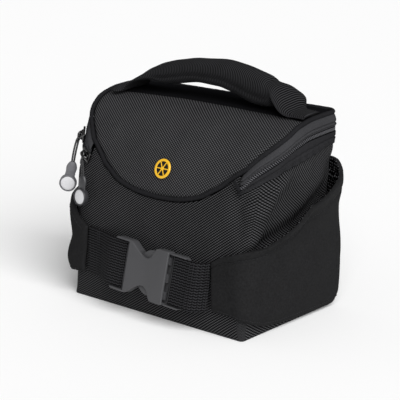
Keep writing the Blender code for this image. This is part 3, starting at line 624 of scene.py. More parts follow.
# Soft folds of the body. Columns: q and share of HEIGHT at one end, the same at the other end, half width and
# height in mm.
FOLDS = [
    (3.15, 0.74, 3.0, 0.56, 10.0, -4.5),
    (2.95, 0.585, 2.1, 0.42, 12.5, -10.0),
    (2.1, 0.42, 1.5, 0.4, 9.0, -3.5),
    (2.1, 0.73, 1.6, 0.6, 9.0, 4.0),
    (1.6, 0.6, 1.52, 0.46, 10.0, 3.0),
    (1.16, 0.665, 1.95, 0.735, 5.0, -1.6),
    (1.2, 0.625, 2.0, 0.7, 3.5, 1.3),
    (1.02, 0.665, 1.14, 0.5, 8.0, -3.0),
    (0.86, 0.66, 0.72, 0.42, 14.0, 1.0),
    (2.35, 0.66, 1.9, 0.42, 12.0, -1.6),
    (2.75, 0.7, 2.45, 0.52, 10.0, 1.4),
    (-1.16, 0.665, -1.95, 0.735, 5.0, -1.4),
    (-1.5, 0.62, -1.5, 0.36, 12.0, 1.4),
    (-2.35, 0.66, -1.9, 0.42, 12.0, -1.4),
    (0.1, 0.43, 0.8, 0.38, 12.0, -0.9),
    (-0.75, 0.42, -0.1, 0.5, 16.0, 0.8),
]


def fold_at(q, z):
    """How far the body's cloth stands off its plain shape."""
    s = arc(q)
    total = 0.55 * ripple(s, z, 42, 3.1) + 0.3 * ripple(s, z, 17, 8.6)
    for q0, h0, q1, h1, half, rise in FOLDS:
        ax, az = arc(q0), h0 * HEIGHT
        bx, bz = arc(q1) - ax, h1 * HEIGHT - az
        t = min(1, max(0, ((s - ax) * bx + (z - az) * bz) / (bx * bx + bz * bz)))
        d = hypot(s - ax - bx * t, z - az - bz * t)
        if d < 3 * half:
            total += rise * exp(-(d / half) ** 2)
    return total * ease(0, 14, z)


EDGE_ROUND = 1.6
BASE_ROWS = 8


def body():
    """The tub: one cloth wall from the base's middle, round its edge and up to the rim."""
    half = spread(0, 1, 44)
    for start, count in ((1, 16), (2, 46), (3, 8), (4, 26)):
        half += spread(start, start + 1, count)[1:]
    qs = [-q for q in half[:0:-1]] + half
    base = [-1 + i / BASE_ROWS for i in range(BASE_ROWS)]
    heights = base + [0.0, 0.003, 0.007, 0.012, 0.02] + spread(0.03, 1.0, 84)

    def place(q, v):
        if v < 0:
            edge = skin(q, 0, -EDGE_ROUND)
            middle = Vector((0, DEPTH / 2, 0))
            return middle + (edge - middle) * (1 + v)
        z = rim_z(q) * v
        low = max(0, EDGE_ROUND - z)
        pull = EDGE_ROUND - sqrt(max(0, EDGE_ROUND**2 - low**2))
        near_rim = ease(9, 0, rim_z(q) - z)
        return skin(q, z, fold_at(q, z) * (1 - near_rim) - pull)

    def flat(q, v, point):
        if v < 0:
            return point.x, point.y
        s = arc(q)
        turn = arc(1.5)
        folded = s if abs(s) <= turn else (2 * turn - abs(s)) * (1 if s > 0 else -1)
        return -folded, point.z

    made = laid_grid(qs, heights, place, flat, wrap=True)
    piece = wall(keep("body_cloth", made, [BODY_CLOTH], ["bag_body"]), WALL)


body()

BAND_START = 2.25
BAND_BOW = 6.0
SEAM_SETBACK = PIPING_RADIUS - 0.4
SEAM_STEP = 0.04
LID_CROWN = 0.024 * DEPTH
BAND_CROWN = LID_CROWN * 0.6


def seam(q):
    """Middle of the piping at q."""
    return skin(q, piping_z(abs(q)), -0.4)


def inner_seam(q):
    """Edge of the lid beside the piping, set back square to it in the lid's own surface."""
    a = abs(q)
    ahead, behind = seam(a + SEAM_STEP), seam(max(0, a - SEAM_STEP))
    tangent = (ahead - behind).normalized() if a >= 0.06 else Vector((1, 0, 0))
    rise = Vector((0, ahead.y - behind.y, ahead.z - behind.z))
    if a < 0.3 or rise.length < 0.3:
        rise = Vector((0, 0.25, 1)) if a < 1 else Vector((0, 1, 0))
    normal = Vector((1, 0, 0)).cross(rise.normalized())
    inward = normal.cross(tangent).normalized()
    if a > 2.9:
        past_side = max(0, a - 3)
        inward = Vector((past_side - 1, -past_side, 0)).normalized()
    place = seam(a) + inward * SEAM_SETBACK
    return Vector((place.x if q >= 0 else -place.x, place.y, place.z))


def lid_row(q, share, crown):
    """Point of the lid's row at q, at this share from side to side. Near the rear band it bows back."""
    end = inner_seam(q)
    bow = BAND_BOW * max(0, 1 - abs(q - BAND_START) / 0.6) ** 2
    x = end.x * (2 * share - 1)
    bend = 1 - (x / end.x) ** 2
    return Vector((x, end.y + (bow - crown * 0.5) * bend, end.z + crown * bend))


# Ends of the lid's first row, which follows the front's seam, and of its first straight row.
LID_FIRST = 0.28
LID_SECOND = 0.42
LID_OUT = Vector((0, -0.72, 0.69))


def lid_rise(q):
    """Length of cloth up the lid to the row at q, along the seam's own side view."""
    total, last = 0.0, seam(0)
    for i in range(1, int(abs(q) / 0.05) + 1):
        here = seam(i * 0.05)
        total += hypot(here.y - last.y, here.z - last.z)
        last = here
    here = seam(abs(q))
    return total + hypot(here.y - last.y, here.z - last.z)


def lid_swell(q):
    """How far the lid's row at q is crowned in its middle."""
    t = (q - LID_FIRST) / (BAND_START - LID_FIRST)
    return LID_CROWN * 4 * max(0, t) * (1.15 - t)


def lid():
    """The padded lid. Its rows run from the front's seam (v 0 to 1) and on up the sides' seams (v from 1)."""
    steps = spread(0, 1, 10)[:-1] + [1 + (q - LID_SECOND) for q in spread(LID_SECOND, BAND_START, 84)]

    def place(share, v):
        q = LID_SECOND + max(0, v - 1)
        point = lid_row(q, share, lid_swell(q))
        to_seam = min(share, 1 - share) * 2 * max(8, abs(lid_row(q, 1, 0).x))
        if v < 1:
            point = inner_seam(LID_FIRST * (2 * share - 1)) * (1 - v) + point * v
            to_seam = min(to_seam, v * 6)
        near = 1 - ease(0, 5, to_seam) + 0.9 * (1 - ease(0, 2.2, to_seam))
        soft = 0.9 * ripple(point.x, point.z, 38, 5.5) + 0.35 * ripple(point.x, point.z, 15, 1.2)
        dent = -1.5 * exp(-(((point.x + 55) / 20) ** 2 + ((point.z - 160) / 13) ** 2))
        lift = (soft + dent) * (1 - near) - 0.9 * near
        return point + LID_OUT * lift

    rises = {v: lid_rise(LID_SECOND + v - 1) for v in steps if v >= 1}

    def flat(share, v, point):
        if v >= 1:
            return point.x, rises[v]
        return point.x, lid_rise(LID_FIRST * (2 * share - 1)) * (1 - v) + rises[1.0] * v

    made = laid_grid(spread(0, 1, 96), steps, place, flat)
    piece = wall(keep("lid_cloth", made, [LID_CLOTH], ["lid_panel"]), LID_THICK)


lid()


def top_band():
    """The smooth band under the handle, drawn down where it is sewn to the lid."""
    def place(share, q):
        point = lid_row(q, share, BAND_CROWN)
        sewn = 1 - ease(0, 4, point.y - lid_row(BAND_START, share, 0).y)
        point.z += 0.3 * ripple(point.x, point.y, 22, 2.4) - 0.7 * sewn
        return point

    made = laid_grid(spread(0, 1, 90), spread(BAND_START + 0.012, 3.0, 22) + [3.2, 3.4, 3.66], place)
    # The band's near-black colour is partly painted shade from the handle above it.
    wall(keep("lid_top_cloth", made, [DARK_TAPE], ["lid_top_band"]), LID_THICK)


top_band()

# Places round the bag: one side of the zip's run, both of its sides, and the whole way round from the front.
RING = spread(ZIP_START, 2.0, 40) + spread(2.0, 3.0, 60)[1:] + spread(3, 4, 16)[1:] + spread(4, 5, 40)[1:]
ROUND = RING + [-q for q in RING[-2::-1]]
HALF_ROUND = spread(0, ZIP_START, 70)[:-1] + RING
WHOLE = HALF_ROUND + [-q for q in HALF_ROUND[-1:0:-1]]


def zip_high(q):
    return zip_z(abs(q)) + TEETH_WIDTH / 2


def zip_low(q):
    return zip_z(abs(q)) - TEETH_WIDTH / 2


def strip(name, low, high, rows, out, material, node, thick=TAPE_THICK):
    """A band of cloth round the bag between two heights, with its section given by out(q, share up)."""
    def place(u, t):
        q = ROUND[int(u)]
        return skin(q, low(q) + (high(q) - low(q)) * t, out(q, t))

    made = laid_grid(list(range(len(ROUND))), spread(0, 1, rows), place)
    return wall(keep(name, made, [material], [node]), thick)


def groove(t, at, half, depth):
    """A line pressed into the cloth by a row of stitches."""
    return -depth * exp(-((t - at) / half) ** 2)


def side_band_out(q, t):
    """The band between the zip and the piping swells above its stitches and turns in under the piping."""
    swell = 2.2 - 1.8 * t + 1.2 * sin(pi * t) + 0.35 * ripple(arc(q), t * 12, 11, 4.2)
    return swell + groove(t, 0.3, 0.05, 1.6) - 2.2 * ease(0.9, 1, t)


strip(
    "lid_side_cloth", lambda q: zip_high(q) + GAP + 0.2, lambda q: under_piping(q) + 1.9, 24, side_band_out,
    BAND_CLOTH, "lid_side_band",
)


PUCKER_LENGTH = 13.0


def tape_out(q, t):
    """The zip's lower tape puckers along its lower edge and has a groove along its stitches."""
    pucker = 0.55 * sin(arc(q) * 2 * pi / PUCKER_LENGTH + 2.2 * t) * (1 - t)
    return 2.0 + 0.3 * t + pucker + groove(t, 0.5, 0.07, 1.3)


strip(
    "lower_tape_cloth", lambda q: rim_z(q) - 1.2, lambda q: zip_low(q) - GAP - 0.2, 20, tape_out, TAPE_CLOTH,
    "zip_tape_lower",
)


def tube_grid(line, radius, around, closed=True):
    """A round tube along a list of points, its radius given by radius(index, angle). An open one gets ends."""
    normals = []
    count = len(line)
    for i in range(count):
        ahead = line[(i + 1) % count] if closed else line[min(i + 1, count - 1)]
        behind = line[i - 1] if closed or i else line[0]
        tangent = (ahead - behind).normalized()
        up = Vector((0, 0, 1)) if abs(tangent.z) < 0.9 else Vector((1, 0, 0))
        side = tangent.cross(up).normalized()
        normals.append((side, side.cross(tangent).normalized()))

    def place(i, t):
        i = int(i) % count
        side, up = normals[i]
        a = 2 * pi * t
        return line[i] + (side * cos(a) + up * sin(a)) * radius(i, a)

    last = count if closed else count - 1
    made = laid_grid(list(range(last + 1)), spread(0, 1, around), place, wrap=True, middle=0)
    if not closed:
        close_ends(made)
    bmesh.ops.recalc_face_normals(made, faces=made.faces)
    return made


def piping():
    """Cloth-covered cord sewn all round the lid, a little uneven and pressed flat at its sides."""
    def radius(i, a):
        uneven = 1 + 0.03 * sin(i * 1.9) + 0.02 * sin(i * 0.7)
        return PIPING_RADIUS * uneven * (1 - 0.036 * max(0, cos(a * 2)))

    made = tube_grid([seam(q) for q in WHOLE], radius, 14)
    keep("lid_piping_cord", made, [PIPING_CLOTH], ["lid_piping"])


piping()

COIL_PITCH = 2.1
COIL_LEAN = radians(24)
COIL_TURN = (1.25, 3.5, 1.3)


def zip_line(step):
    """Places along the zip's middle a step apart, with the ways along, across and out of it.

    Along points away from the front on both sides, so the coil leans the same way on both.
    """
    found, total, last = [], 0.0, None
    samples = 4000
    for i in range(samples + 1):
        a = ZIP_START + (10 - 2 * ZIP_START) * i / samples
        q = a if a <= 5 else a - 10
        here = skin(q, zip_z(abs(q)), 0.9)
        if last is not None:
            total += (here - last).length
        if last is None or total >= step:
            side = 1 if q > 0 else -1
            ahead = 1 if abs(q) < 4.98 else -1
            beside = q + 0.01 * ahead * side
            along = (skin(beside, zip_z(abs(beside)), 0.9) - here).normalized() * ahead
            out = out_from(q, here.z)
            found.append((here, along, out.cross(along).normalized() * side, out))
            total = 0.0
        last = here
    return found


def zip_coil():
    """The tape under the teeth, and the coil's slanting turns, a third coarser than real so that they show."""
    strip(
        "zip_coil_tape", lambda q: zip_low(q) - 1.7, lambda q: zip_high(q) + 1.7, 6,
        lambda q, t: 0.1 + 0.2 * sin(pi * t), DARK_TAPE, "zip_teeth", 0.9,
    )
    made = bmesh.new()
    lean_and_size = Matrix.Rotation(COIL_LEAN, 4, "Z") @ Matrix.Diagonal((*COIL_TURN, 1.0))
    for here, along, across, facing in zip_line(COIL_PITCH):
        at = Matrix.Translation(here + facing * 0.3) @ axes(along, across, facing)
        bmesh.ops.create_cube(made, size=1, matrix=at @ lean_and_size)
    round_off(made, made.edges, 0.32)
    bmesh.ops.recalc_face_normals(made, faces=made.faces)
    keep("zip_coil", made, [COIL])


zip_coil()


def stitches(name, lines, length=2.4, step=3.4, wide=0.7, high=0.35):
    """Runs of sewing thread. Each line is a list of (place, way out)."""
    made = bmesh.new()
    size = Matrix.Diagonal((length, wide, high * 2, 1))
    for line in lines:
        carry = step / 2
        for (a, out_a), (b, out_b) in zip(line, line[1:]):
            run = b - a
            reach = run.length
            if reach < 1e-4:
                continue
            while carry < reach:
                out = out_a.lerp(out_b, carry / reach).normalized()
                along = run.normalized()
                turn = axes(along, out.cross(along).normalized(), out)
                at = Matrix.Translation(a + run * (carry / reach) + out * (high * 0.2))
                bmesh.ops.create_cube(made, size=1, matrix=at @ turn @ size)
                carry += step
            carry -= reach
    round_off(made, made.edges, min(wide, high) * 0.4)
    keep(name, made, [THREAD])


# Share up the zip's lower tape, and up the side band, where each is sewn.
TAPE_STITCHES = 0.22
BAND_STITCHES = 0.14


def band_line(qs, height, off):
    """A run along the bag's outer face for stitches."""
    return [(skin(q, height(q), off(q)), out_from(q, height(q))) for q in qs]


def tape_height(q):
    """Height of the stitches along the zip's lower tape."""
    return rim_z(q) + 0.5 + (zip_low(q) - 0.5 - rim_z(q)) * TAPE_STITCHES


def band_height(q):
    """Height of the stitches along the side band."""
    return zip_high(q) + 0.5 + (under_piping(q) - zip_high(q) - 0.5) * BAND_STITCHES


stitches(
    "zip_tape_stitches",
    [band_line(ROUND, tape_height, lambda q: tape_out(q, TAPE_STITCHES)),
     band_line(ROUND[6:-6], band_height, lambda q: side_band_out(q, BAND_STITCHES))],
)

# Padded handle, from its left end to its right one. Columns: shares of HALF_WIDTH across and of HEIGHT up, then
# half its thickness and half its width (shares of GRIP_THICK). The top band slopes down in front of BAND_BREAK.
HANDLE_Y = 0.6 * DEPTH
BAND_BREAK = 79.0
HANDLE_ROWS = [
    (-1.04, 1.006, 0.07, 0.9), (-0.98, 1.012, 0.11, 0.98), (-0.925, 1.016, 0.1, 0.86),
    (-0.885, 1.03, 0.08, 0.78), (-0.83, 1.05, 0.09, 0.7), (-0.74, 1.073, 0.14, 0.62),
    (-0.62, 1.094, 0.3, 0.55), (-0.52, 1.098, 0.45, 0.52), (-0.34, 1.117, 0.49, 0.5),
    (-0.12, 1.136, 0.5, 0.5), (0.14, 1.139, 0.56, 0.52), (0.35, 1.123, 0.62, 0.54),
    (0.55, 1.0945, 0.65, 0.56), (0.69, 1.0815, 0.56, 0.58), (0.79, 1.094, 0.28, 0.62),
    (0.845, 1.083, 0.13, 0.68), (0.89, 1.06, 0.09, 0.72), (0.92, 1.036, 0.075, 0.72),
    (0.955, 1.017, 0.06, 0.66), (1.02, 1.008, 0.06, 0.58), (1.12, 1.008, 0.055, 0.55),
]
handle_across, handle_up, handle_thick, handle_wide = (
    curve_of([(i, row[k]) for i, row in enumerate(HANDLE_ROWS)], 1, unit)
    for k, unit in enumerate((HALF_WIDTH, HEIGHT, GRIP_THICK, GRIP_THICK))
)


def band_top(x):
    """Height of the top band's outer face at x, where it is highest under the handle."""
    heights = []
    for q in (2.2, 2.4, 2.6, 2.8, 3.0):
        end = inner_seam(q)
        heights.append(end.z + BAND_CROWN * max(0, 1 - (x / end.x) ** 2))
    return max(heights)


def handle_point(s, a):
    """Point of the handle's cover at station s and angle a, with the lap where the webbing's edges meet."""
    x = handle_across(s)
    more, less = s + 0.05, s - 0.05
    ahead = Vector((handle_across(more) - handle_across(less), 0, handle_up(more) - handle_up(less)))
    ahead = ahead.normalized() if ahead.length > 1e-6 else Vector((1, 0, 0))
    normal = Vector((-ahead.z, 0, ahead.x))
    thick = handle_thick(s)
    height = max(handle_up(s), band_top(x) + GAP + thick)
    y = handle_wide(s) * (abs(cos(a)) ** 0.8) * (1 if cos(a) > 0 else -1)
    n = thick * (abs(sin(a)) ** 0.8) * (1 if sin(a) > 0 else -1)
    grip = ease(5.4, 7.2, s) * (1 - ease(12.8, 13.9, s))
    lap = (a - radians(190)) / radians(8)
    step = grip * (-2.2 * exp(-lap * lap) - 1.5 * ease(0, 1, lap) * ease(radians(330), radians(250), a))
    out = Vector((0, cos(a), 0)) + normal * sin(a)
    lumps = grip * 0.35 * ripple(x, a * 8, 19, 6.3)
    lies = ease(0.86 * HALF_WIDTH, 0.94 * HALF_WIDTH, abs(x))
    height -= lies * 0.2 * max(0, BAND_BREAK - HANDLE_Y - y)
    x += 0.32 * y * bump_at(s, 15.6, 2.8)
    return Vector((x, HANDLE_Y + y, height)) + normal * n + out.normalized() * (step + lumps)


def handle():
    """The padded grip with its flat ends, each sewn down with a box of stitches and a cross in it."""
    def place(s, t):
        return handle_point(s, 2 * pi * t + radians(90))

    made = laid_grid(spread(0, len(HANDLE_ROWS) - 1, 240), spread(0, 1, 72), place, wrap=True, middle=0)
    bmesh.ops.reverse_faces(made, faces=made.faces)
    close_ends(made)
    piece = keep("handle_cover", made, [HANDLE_CLOTH], ["handle"])
    lines = []
    for low, high in ((0.3, 1.9), (18.4, 19.7)):
        front, back = (
            [(handle_point(s, a), Vector((0, 0, 1))) for s in spread(low, high, 14)]
            for a in (radians(140), radians(40))
        )
        lines += [front, back, [front[0], back[0]], [front[-1], back[-1]]]
        lines += [[front[0], back[-1]], [back[0], front[-1]]]
    stitches("handle_box_stitches", lines)


handle()

# Wings. Columns: q, lower edge and upper edge (shares of HEIGHT), clearance from the bag (share of
# WING_THICK).
RIGHT_WING = [
    (0.745, 0.121, 0.352, 0.35), (0.8, 0.121, 0.37, 0.35), (0.9, 0.119, 0.396, 0.4), (1.2, 0.108, 0.424, 0.45),
    (1.5, 0.1, 0.438, 0.5), (1.8, 0.09, 0.448, 0.5), (2.0, 0.078, 0.465, 0.55), (2.15, 0.048, 0.495, 0.7),
    (2.32, 0.031, 0.543, 0.8), (2.45, 0.024, 0.595, 0.8), (2.6, 0.02, 0.608, 0.75), (2.77, 0.016, 0.636, 0.6),
    (2.9, 0.014, 0.662, 0.45), (3.0, 0.015, 0.682, 0.35), (3.15, 0.018, 0.7, 0.3), (3.3, 0.022, 0.722, 0.25),
    (3.65, 0.024, 0.76, 0.2), (4.0, 0.03, 0.765, 0.15), (4.08, 0.04, 0.765, 0.12), (4.16, 0.05, 0.765, 0.1),
]
LEFT_WING = [
    (0.87, 0.138, 0.374, 0.3), (0.95, 0.136, 0.395, 0.35), (1.1, 0.131, 0.43, 0.3), (1.3, 0.126, 0.465, 0.25),
    (1.5, 0.122, 0.49, 0.25), (1.8, 0.115, 0.515, 0.3), (2.1, 0.09, 0.54, 0.5), (2.32, 0.06, 0.565, 0.7),
    (2.45, 0.045, 0.595, 0.8), (2.6, 0.03, 0.608, 0.75), (2.77, 0.02, 0.636, 0.6), (2.9, 0.015, 0.67, 0.45),
    (3.0, 0.013, 0.7, 0.35), (3.3, 0.012, 0.748, 0.25), (3.65, 0.016, 0.765, 0.2), (4.0, 0.03, 0.765, 0.15),
    (4.08, 0.04, 0.765, 0.12), (4.16, 0.05, 0.765, 0.1),
]


# Share up the wings where their upper hem is sewn.
HEM = 0.885


def right_gather(q, t):
    """The upper edge stands away from the bag beside the zip end, and most near the rear corner."""
    near = max(0, 1 - abs(q - 2.8) / 0.9)
    corner = max(0, 1 - abs(q - 3.3) / 0.75)
    roll = 0.5 * bump_at(t, 0.86, 0.36) + 1.15 * (1 - ease(0.42, 0.78, t)) * ease(-0.03, 0.09, t)
    lip = bump_at(q, 2.25, 1.15) * (0.7 * t**4 + 1.1 * ease(0.88, 1, t)) + groove(t, HEM, 0.018, 0.22)
    over = 0.6 * bump_at(q, 3.15, 0.5) * bump_at(t, 0.93, 0.2)
    belly = 0.12 * sin(pi * t) * max(0, 1 - abs(q - 1.4) / 0.8)
    return 0.9 * near * t**2 + lip + over + corner * roll + belly


def left_gather(q, t):
    """Two soft rolls at the front corner, one low and one near the top edge."""
    near = bump_at(q, 1.55, 0.9)
    rolls = near * (0.95 * bump_at(t, 0.2, 0.32) + 0.85 * bump_at(t, 0.86, 0.42))
    return rolls + 0.5 * t**2 * bump_at(q, 2.8, 0.9)


def wing(name, rows, side, gather, node):
    """A wing of padded cloth round one side of the bag. gather(q, t) gives its rolls, in wing thicknesses."""
    low, high, clear = (
        curve_of([(row[0], row[k]) for row in rows], 1, unit)
        for k, unit in ((1, HEIGHT), (2, HEIGHT), (3, WING_THICK))
    )
    stations = spread(rows[0][0], 2.0, 34) + spread(2.0, 3.0, 34)[1:] + spread(3.0, 4.0, 20)[1:]
    stations += [4.05, 4.1, rows[-1][0]]

    def place(q, t):
        z = low(q) + (high(q) - low(q)) * t
        wave_in = 0.45 * ripple(arc(q) * side, z, 26, 7.7) + 0.25 * ripple(arc(q) * side, z, 11, 2.9)
        near = clear(q) * (0.3 + 0.7 * ease(0, 0.14, t))
        waves = wave_in * sin(pi * min(1, t * 1.02))
        return skin(side * q, z, near + gather(q, t) * WING_THICK + WING_THICK + waves)

    made = laid_grid(stations, spread(0, 0.8, 26) + spread(0.8, 1, 22)[1:], place)
    piece = keep(name, made, [WING_CLOTH, WING_LINING], [node], flip=side < 0)
    wall(piece, WING_THICK, lining=1)
    soften(piece)
    lines = []
    for share in (HEM, 0.045):
        hem = [(q, place(q, share)) for q in stations[2:-2]]
        lines.append([(here, out_from(side * q, here.z)) for q, here in hem])
    stitches(name + "_hem_stitches", lines, wide=0.6)


wing("wing_right_cloth", RIGHT_WING, 1, right_gather, "wing_right")
wing("wing_left_cloth", LEFT_WING, -1, left_gather, "wing_left")

# Belt. The buckle lies in one flat plane. The webbing leaves that plane and follows the bag at its ends.
BUCKLE_LEAN = radians(11.25)
BUCKLE_DROOP = radians(2.87)
BUCKLE_PLACE = Vector((0.067 * HALF_WIDTH, -0.048 * DEPTH, 0.2372 * HEIGHT))
ALONG = Vector((cos(BUCKLE_DROOP), 0, -sin(BUCKLE_DROOP)))
OUT = Vector((0, -cos(BUCKLE_LEAN), sin(BUCKLE_LEAN)))
OUT = (OUT - ALONG * OUT.dot(ALONG)).normalized()
ACROSS = OUT.cross(ALONG)


def buckle_point(s, t, n):
    return BUCKLE_PLACE + ALONG * s + ACROSS * t + OUT * n


def webbing_point(x, t, middle, clear, flat_share, lift):
    """Point of a strap at x along the bag and t across it, flat at the buckle, then round the bag's front."""
    z = middle(x) + t
    onto = ease(0, 1, (abs(x) / HALF_WIDTH - flat_share) / 0.24)
    q = x / (half_width(z) - front_round(z))
    on_bag = skin(q, z, clear(x) + lift)
    on_plane = buckle_point((x - BUCKLE_PLACE.x) / cos(BUCKLE_DROOP), t, clear(x) + lift)
    return on_plane * (1 - onto) + on_bag * onto


def webbing(name, rows, flat_share, node, stitched, loop):
    """A strap, sewn across at the places in stitched. At loop, in mm, it turns in round the buckle's bar.

    Columns of rows: share of HALF_WIDTH along, middle (share of HEIGHT), clearance (share of WEBBING_THICK).
    """
    middle = curve_of([(row[0], row[1]) for row in rows], HALF_WIDTH, HEIGHT)
    clear = curve_of([(row[0], row[2]) for row in rows], HALF_WIDTH, WEBBING_THICK)
    start, end = rows[0][0] * HALF_WIDTH, rows[-1][0] * HALF_WIDTH
    half = WEBBING_WIDTH / 2

    def place(x, t):
        edge = 0.45 * exp(-((half - abs(t)) / 1.2) ** 2)
        rib = 0.16 * cos(2 * pi * t * MM / WEBBING_RIB)
        turn_in = 4.2 * max(0, 1 - abs(x - loop) / 3.0) ** 2
        lift = WEBBING_THICK + 0.3 * ripple(x, t, 18, 9.1) + rib - edge - turn_in
        return webbing_point(x, t, middle, clear, flat_share, lift)

    made = laid_grid(spread(start, end, 72), spread(-half, half, 90), place)
    wall(keep(name, made, [WEBBING], [node]), WEBBING_THICK)
    across = spread(-half + 2.5, half - 2.5, 20)
    lines = []
    for x in stitched:
        rise = WEBBING_THICK + 0.15
        lines.append([(webbing_point(x * HALF_WIDTH, t, middle, clear, flat_share, rise), OUT) for t in across])
    stitches(name + "_stitches", lines, length=1.6, step=2.5, wide=0.8)


webbing(
    "webbing_left_strap",
    [(-0.79, 0.258, 0.7), (-0.7, 0.2565, 1.0), (-0.6, 0.2552, 1.6), (-0.5, 0.2538, 2.6), (-0.4, 0.2518, 3.1),
     (-0.242, 0.2478, 3.1)],
    0.4, "webbing_left", (-0.665, -0.64), -0.242 * HALF_WIDTH,
)
webbing(
    "webbing_right_strap",
    [(0.298, 0.2314, 3.1), (0.42, 0.2276, 3.1), (0.5, 0.2255, 3.1), (0.56, 0.2275, 2.6), (0.62, 0.232, 1.7),
     (0.675, 0.2365, 0.9)],
    0.5, "webbing_right", (0.5, 0.535, 0.57, 0.605, 0.64, 0.66), 0.298 * HALF_WIDTH,
)

# Half outlines of the buckle's parts. Columns: shares of BUCKLE_LENGTH along and of HALF_BUCKLE across.
HALF_BUCKLE = BUCKLE_WIDTH / 2
RECEIVER = [
    (-0.5, 0.93), (-0.485, 1.0), (-0.3, 1.0), (-0.265, 0.96), (-0.215, 0.82), (-0.16, 0.68), (-0.11, 0.565),
    (-0.065, 0.52), (-0.02, 0.545), (0.015, 0.66), (0.035, 0.82), (0.058, 0.97), (0.08, 1.0), (0.215, 1.0),
    (0.228, 0.97),
]
PLUG = [(0.24, 0.84), (0.24, 0.96), (0.26, 0.985), (0.42, 0.985), (0.445, 0.95), (0.455, 0.88)]
PRONG = [
    (-0.15, 0.44), (-0.15, 0.56), (-0.12, 0.68), (-0.07, 0.8), (-0.02, 0.86), (0.02, 0.82), (0.06, 0.7),
    (0.13, 0.74), (0.18, 0.8), (0.255, 0.8), (0.255, 0.5), (0.14, 0.5), (0.04, 0.46), (-0.06, 0.46),
]


def sized(rows, side=1):
    """Rows of an outline as places in millimetres, on one side of the buckle's middle."""
    return [(s * BUCKLE_LENGTH, side * t * HALF_BUCKLE) for s, t in rows]


def rounded(outline, cut=1.2, times=2):
    """The closed outline with its corners cut back twice, so that the moulding's curves read as smooth."""
    for _ in range(times):
        fresh = []
        for i, point in enumerate(outline):
            for other in (outline[i - 1], outline[(i + 1) % len(outline)]):
                run = Vector(other) - Vector(point)
                near = min(0.25 * run.length, cut)
                fresh.append(tuple(Vector(point) + run.normalized() * near))
        outline = fresh
        cut *= 0.5
    return outline


def plate(outline, low, high, edge):
    """A moulded plate in the buckle's frame, with its rims rounded over."""
    made = bmesh.new()
    points = [made.verts.new(Vector((s, t, low))) for s, t in outline]
    made.faces.new(points)
    bmesh.ops.recalc_face_normals(made, faces=made.faces)
    grown = bmesh.ops.extrude_face_region(made, geom=list(made.faces))
    bmesh.ops.translate(
        made, vec=(0, 0, high - low), verts=[g for g in grown["geom"] if isinstance(g, bmesh.types.BMVert)],
    )
    bmesh.ops.recalc_face_normals(made, faces=made.faces)
    round_off(made, [e for e in made.edges if abs(e.verts[0].co.z - e.verts[1].co.z) < 1e-5], edge, 3)
    return made


def block(start, end, half, low, high, edge=0.0):
    """A block across the buckle: start and end are shares of its length, the rest is in millimetres."""
    size = ((end - start) * BUCKLE_LENGTH, 2 * half, high - low)
    middle = ((start + end) / 2 * BUCKLE_LENGTH, 0, (low + high) / 2)
    return rounded_box(size, Matrix.Translation(middle), edge)


def carve(name, base, joined=(), removed=()):
    """A bmesh of the base with other shapes joined to it and then removed from it."""
    carved = mesh_object(name + "_work", base)
    tools = []
    for operation, shapes in (("UNION", joined), ("DIFFERENCE", removed)):
        for shape in shapes:
            tool = mesh_object(name + "_tool", shape)
            change = carved.modifiers.new("carve", "BOOLEAN")
            change.operation = operation
            change.solver = "EXACT"
            change.object = tool
            tools.append(tool)
    graph = bpy.context.evaluated_depsgraph_get()
    result = bmesh.new()
    result.from_mesh(carved.evaluated_get(graph).to_mesh())
    for tool in tools + [carved]:
        bpy.data.objects.remove(tool, do_unlink=True)
    return result


# Half the width of the seats in which the webbing lies, and a height that clears the buckle's top.
SEAT = WEBBING_WIDTH / 2 + 0.55
CLEAR_TOP = 30.0


def mould(name, made, node):
    """Places a moulding worked in the buckle's frame, with flat faces and rounded rims told apart."""
    bmesh.ops.transform(
        made, matrix=Matrix.Translation(BUCKLE_PLACE) @ axes(ALONG, ACROSS, OUT), verts=made.verts,
    )
    piece = keep(name, made, [ACETAL], [node])
    piece.data.set_sharp_from_angle(angle=radians(32))


def buckle():
    """The receiver with its hollow and the webbing's seat, and the plug with its prongs and middle tongue."""
    shell = plate(rounded(sized(RECEIVER) + sized(RECEIVER[::-1], -1)), 0, BUCKLE_THICK, 0.9)
    removed = [
        block(-0.17, 0.3, 0.91 * HALF_BUCKLE, 2, 8),
        block(-0.435, -0.305, SEAT, 5.0, CLEAR_TOP),
        block(-0.6, -0.32, SEAT, 4.8, CLEAR_TOP),
        block(-0.36, -0.306, SEAT, -5, CLEAR_TOP),
    ]
    mould("buckle_receiver", carve("receiver", shell, removed=removed), "buckle_female")
    bar = plate(rounded(sized(PLUG[::-1], -1) + sized(PLUG)), 0.8, BUCKLE_THICK - 1.2, 0.8)
    joined = [plate(rounded(sized(PRONG, side)), 2.5, 6.4, 0.7) for side in (1, -1)]
    joined.append(block(-0.05, 0.25, 0.16 * HALF_BUCKLE, 3, 7, 0.5))
    removed = [
        block(0.232, 0.29, SEAT, 2.4, CLEAR_TOP),
        block(0.272, 0.6, SEAT, 4.8, CLEAR_TOP),
        block(0.276, 0.345, SEAT, -5, CLEAR_TOP),
    ]
    mould("buckle_plug", carve("plug", bar, joined, removed), "buckle_male")


buckle()


TAB_Q = 0.97
TAB_SLOPE = radians(42)


def end_tab():
    """A scrap of binding folded over the zip's end and sewn down."""
    low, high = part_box("zip_end_tab")
    place = (Vector(low) + Vector(high)) / 2 / MM - SHIFT
    z = rim_z(TAB_Q)
    along = (skin(TAB_Q + 0.02, z) - skin(TAB_Q - 0.02, z)).normalized()
    inward = (skin(TAB_Q, z + 1) - skin(TAB_Q, z - 1)).cross(along).normalized()
    turn = axes(along, inward, along.cross(inward).normalized()) @ Matrix.Rotation(TAB_SLOPE, 4, "Y")
    made = rounded_box((12.0, 1.6, 3.4), Matrix.Translation(place) @ turn, 0.7, 3)
    keep("zip_end_binding", made, [PIPING_CLOTH], ["zip_end_tab"])


end_tab()


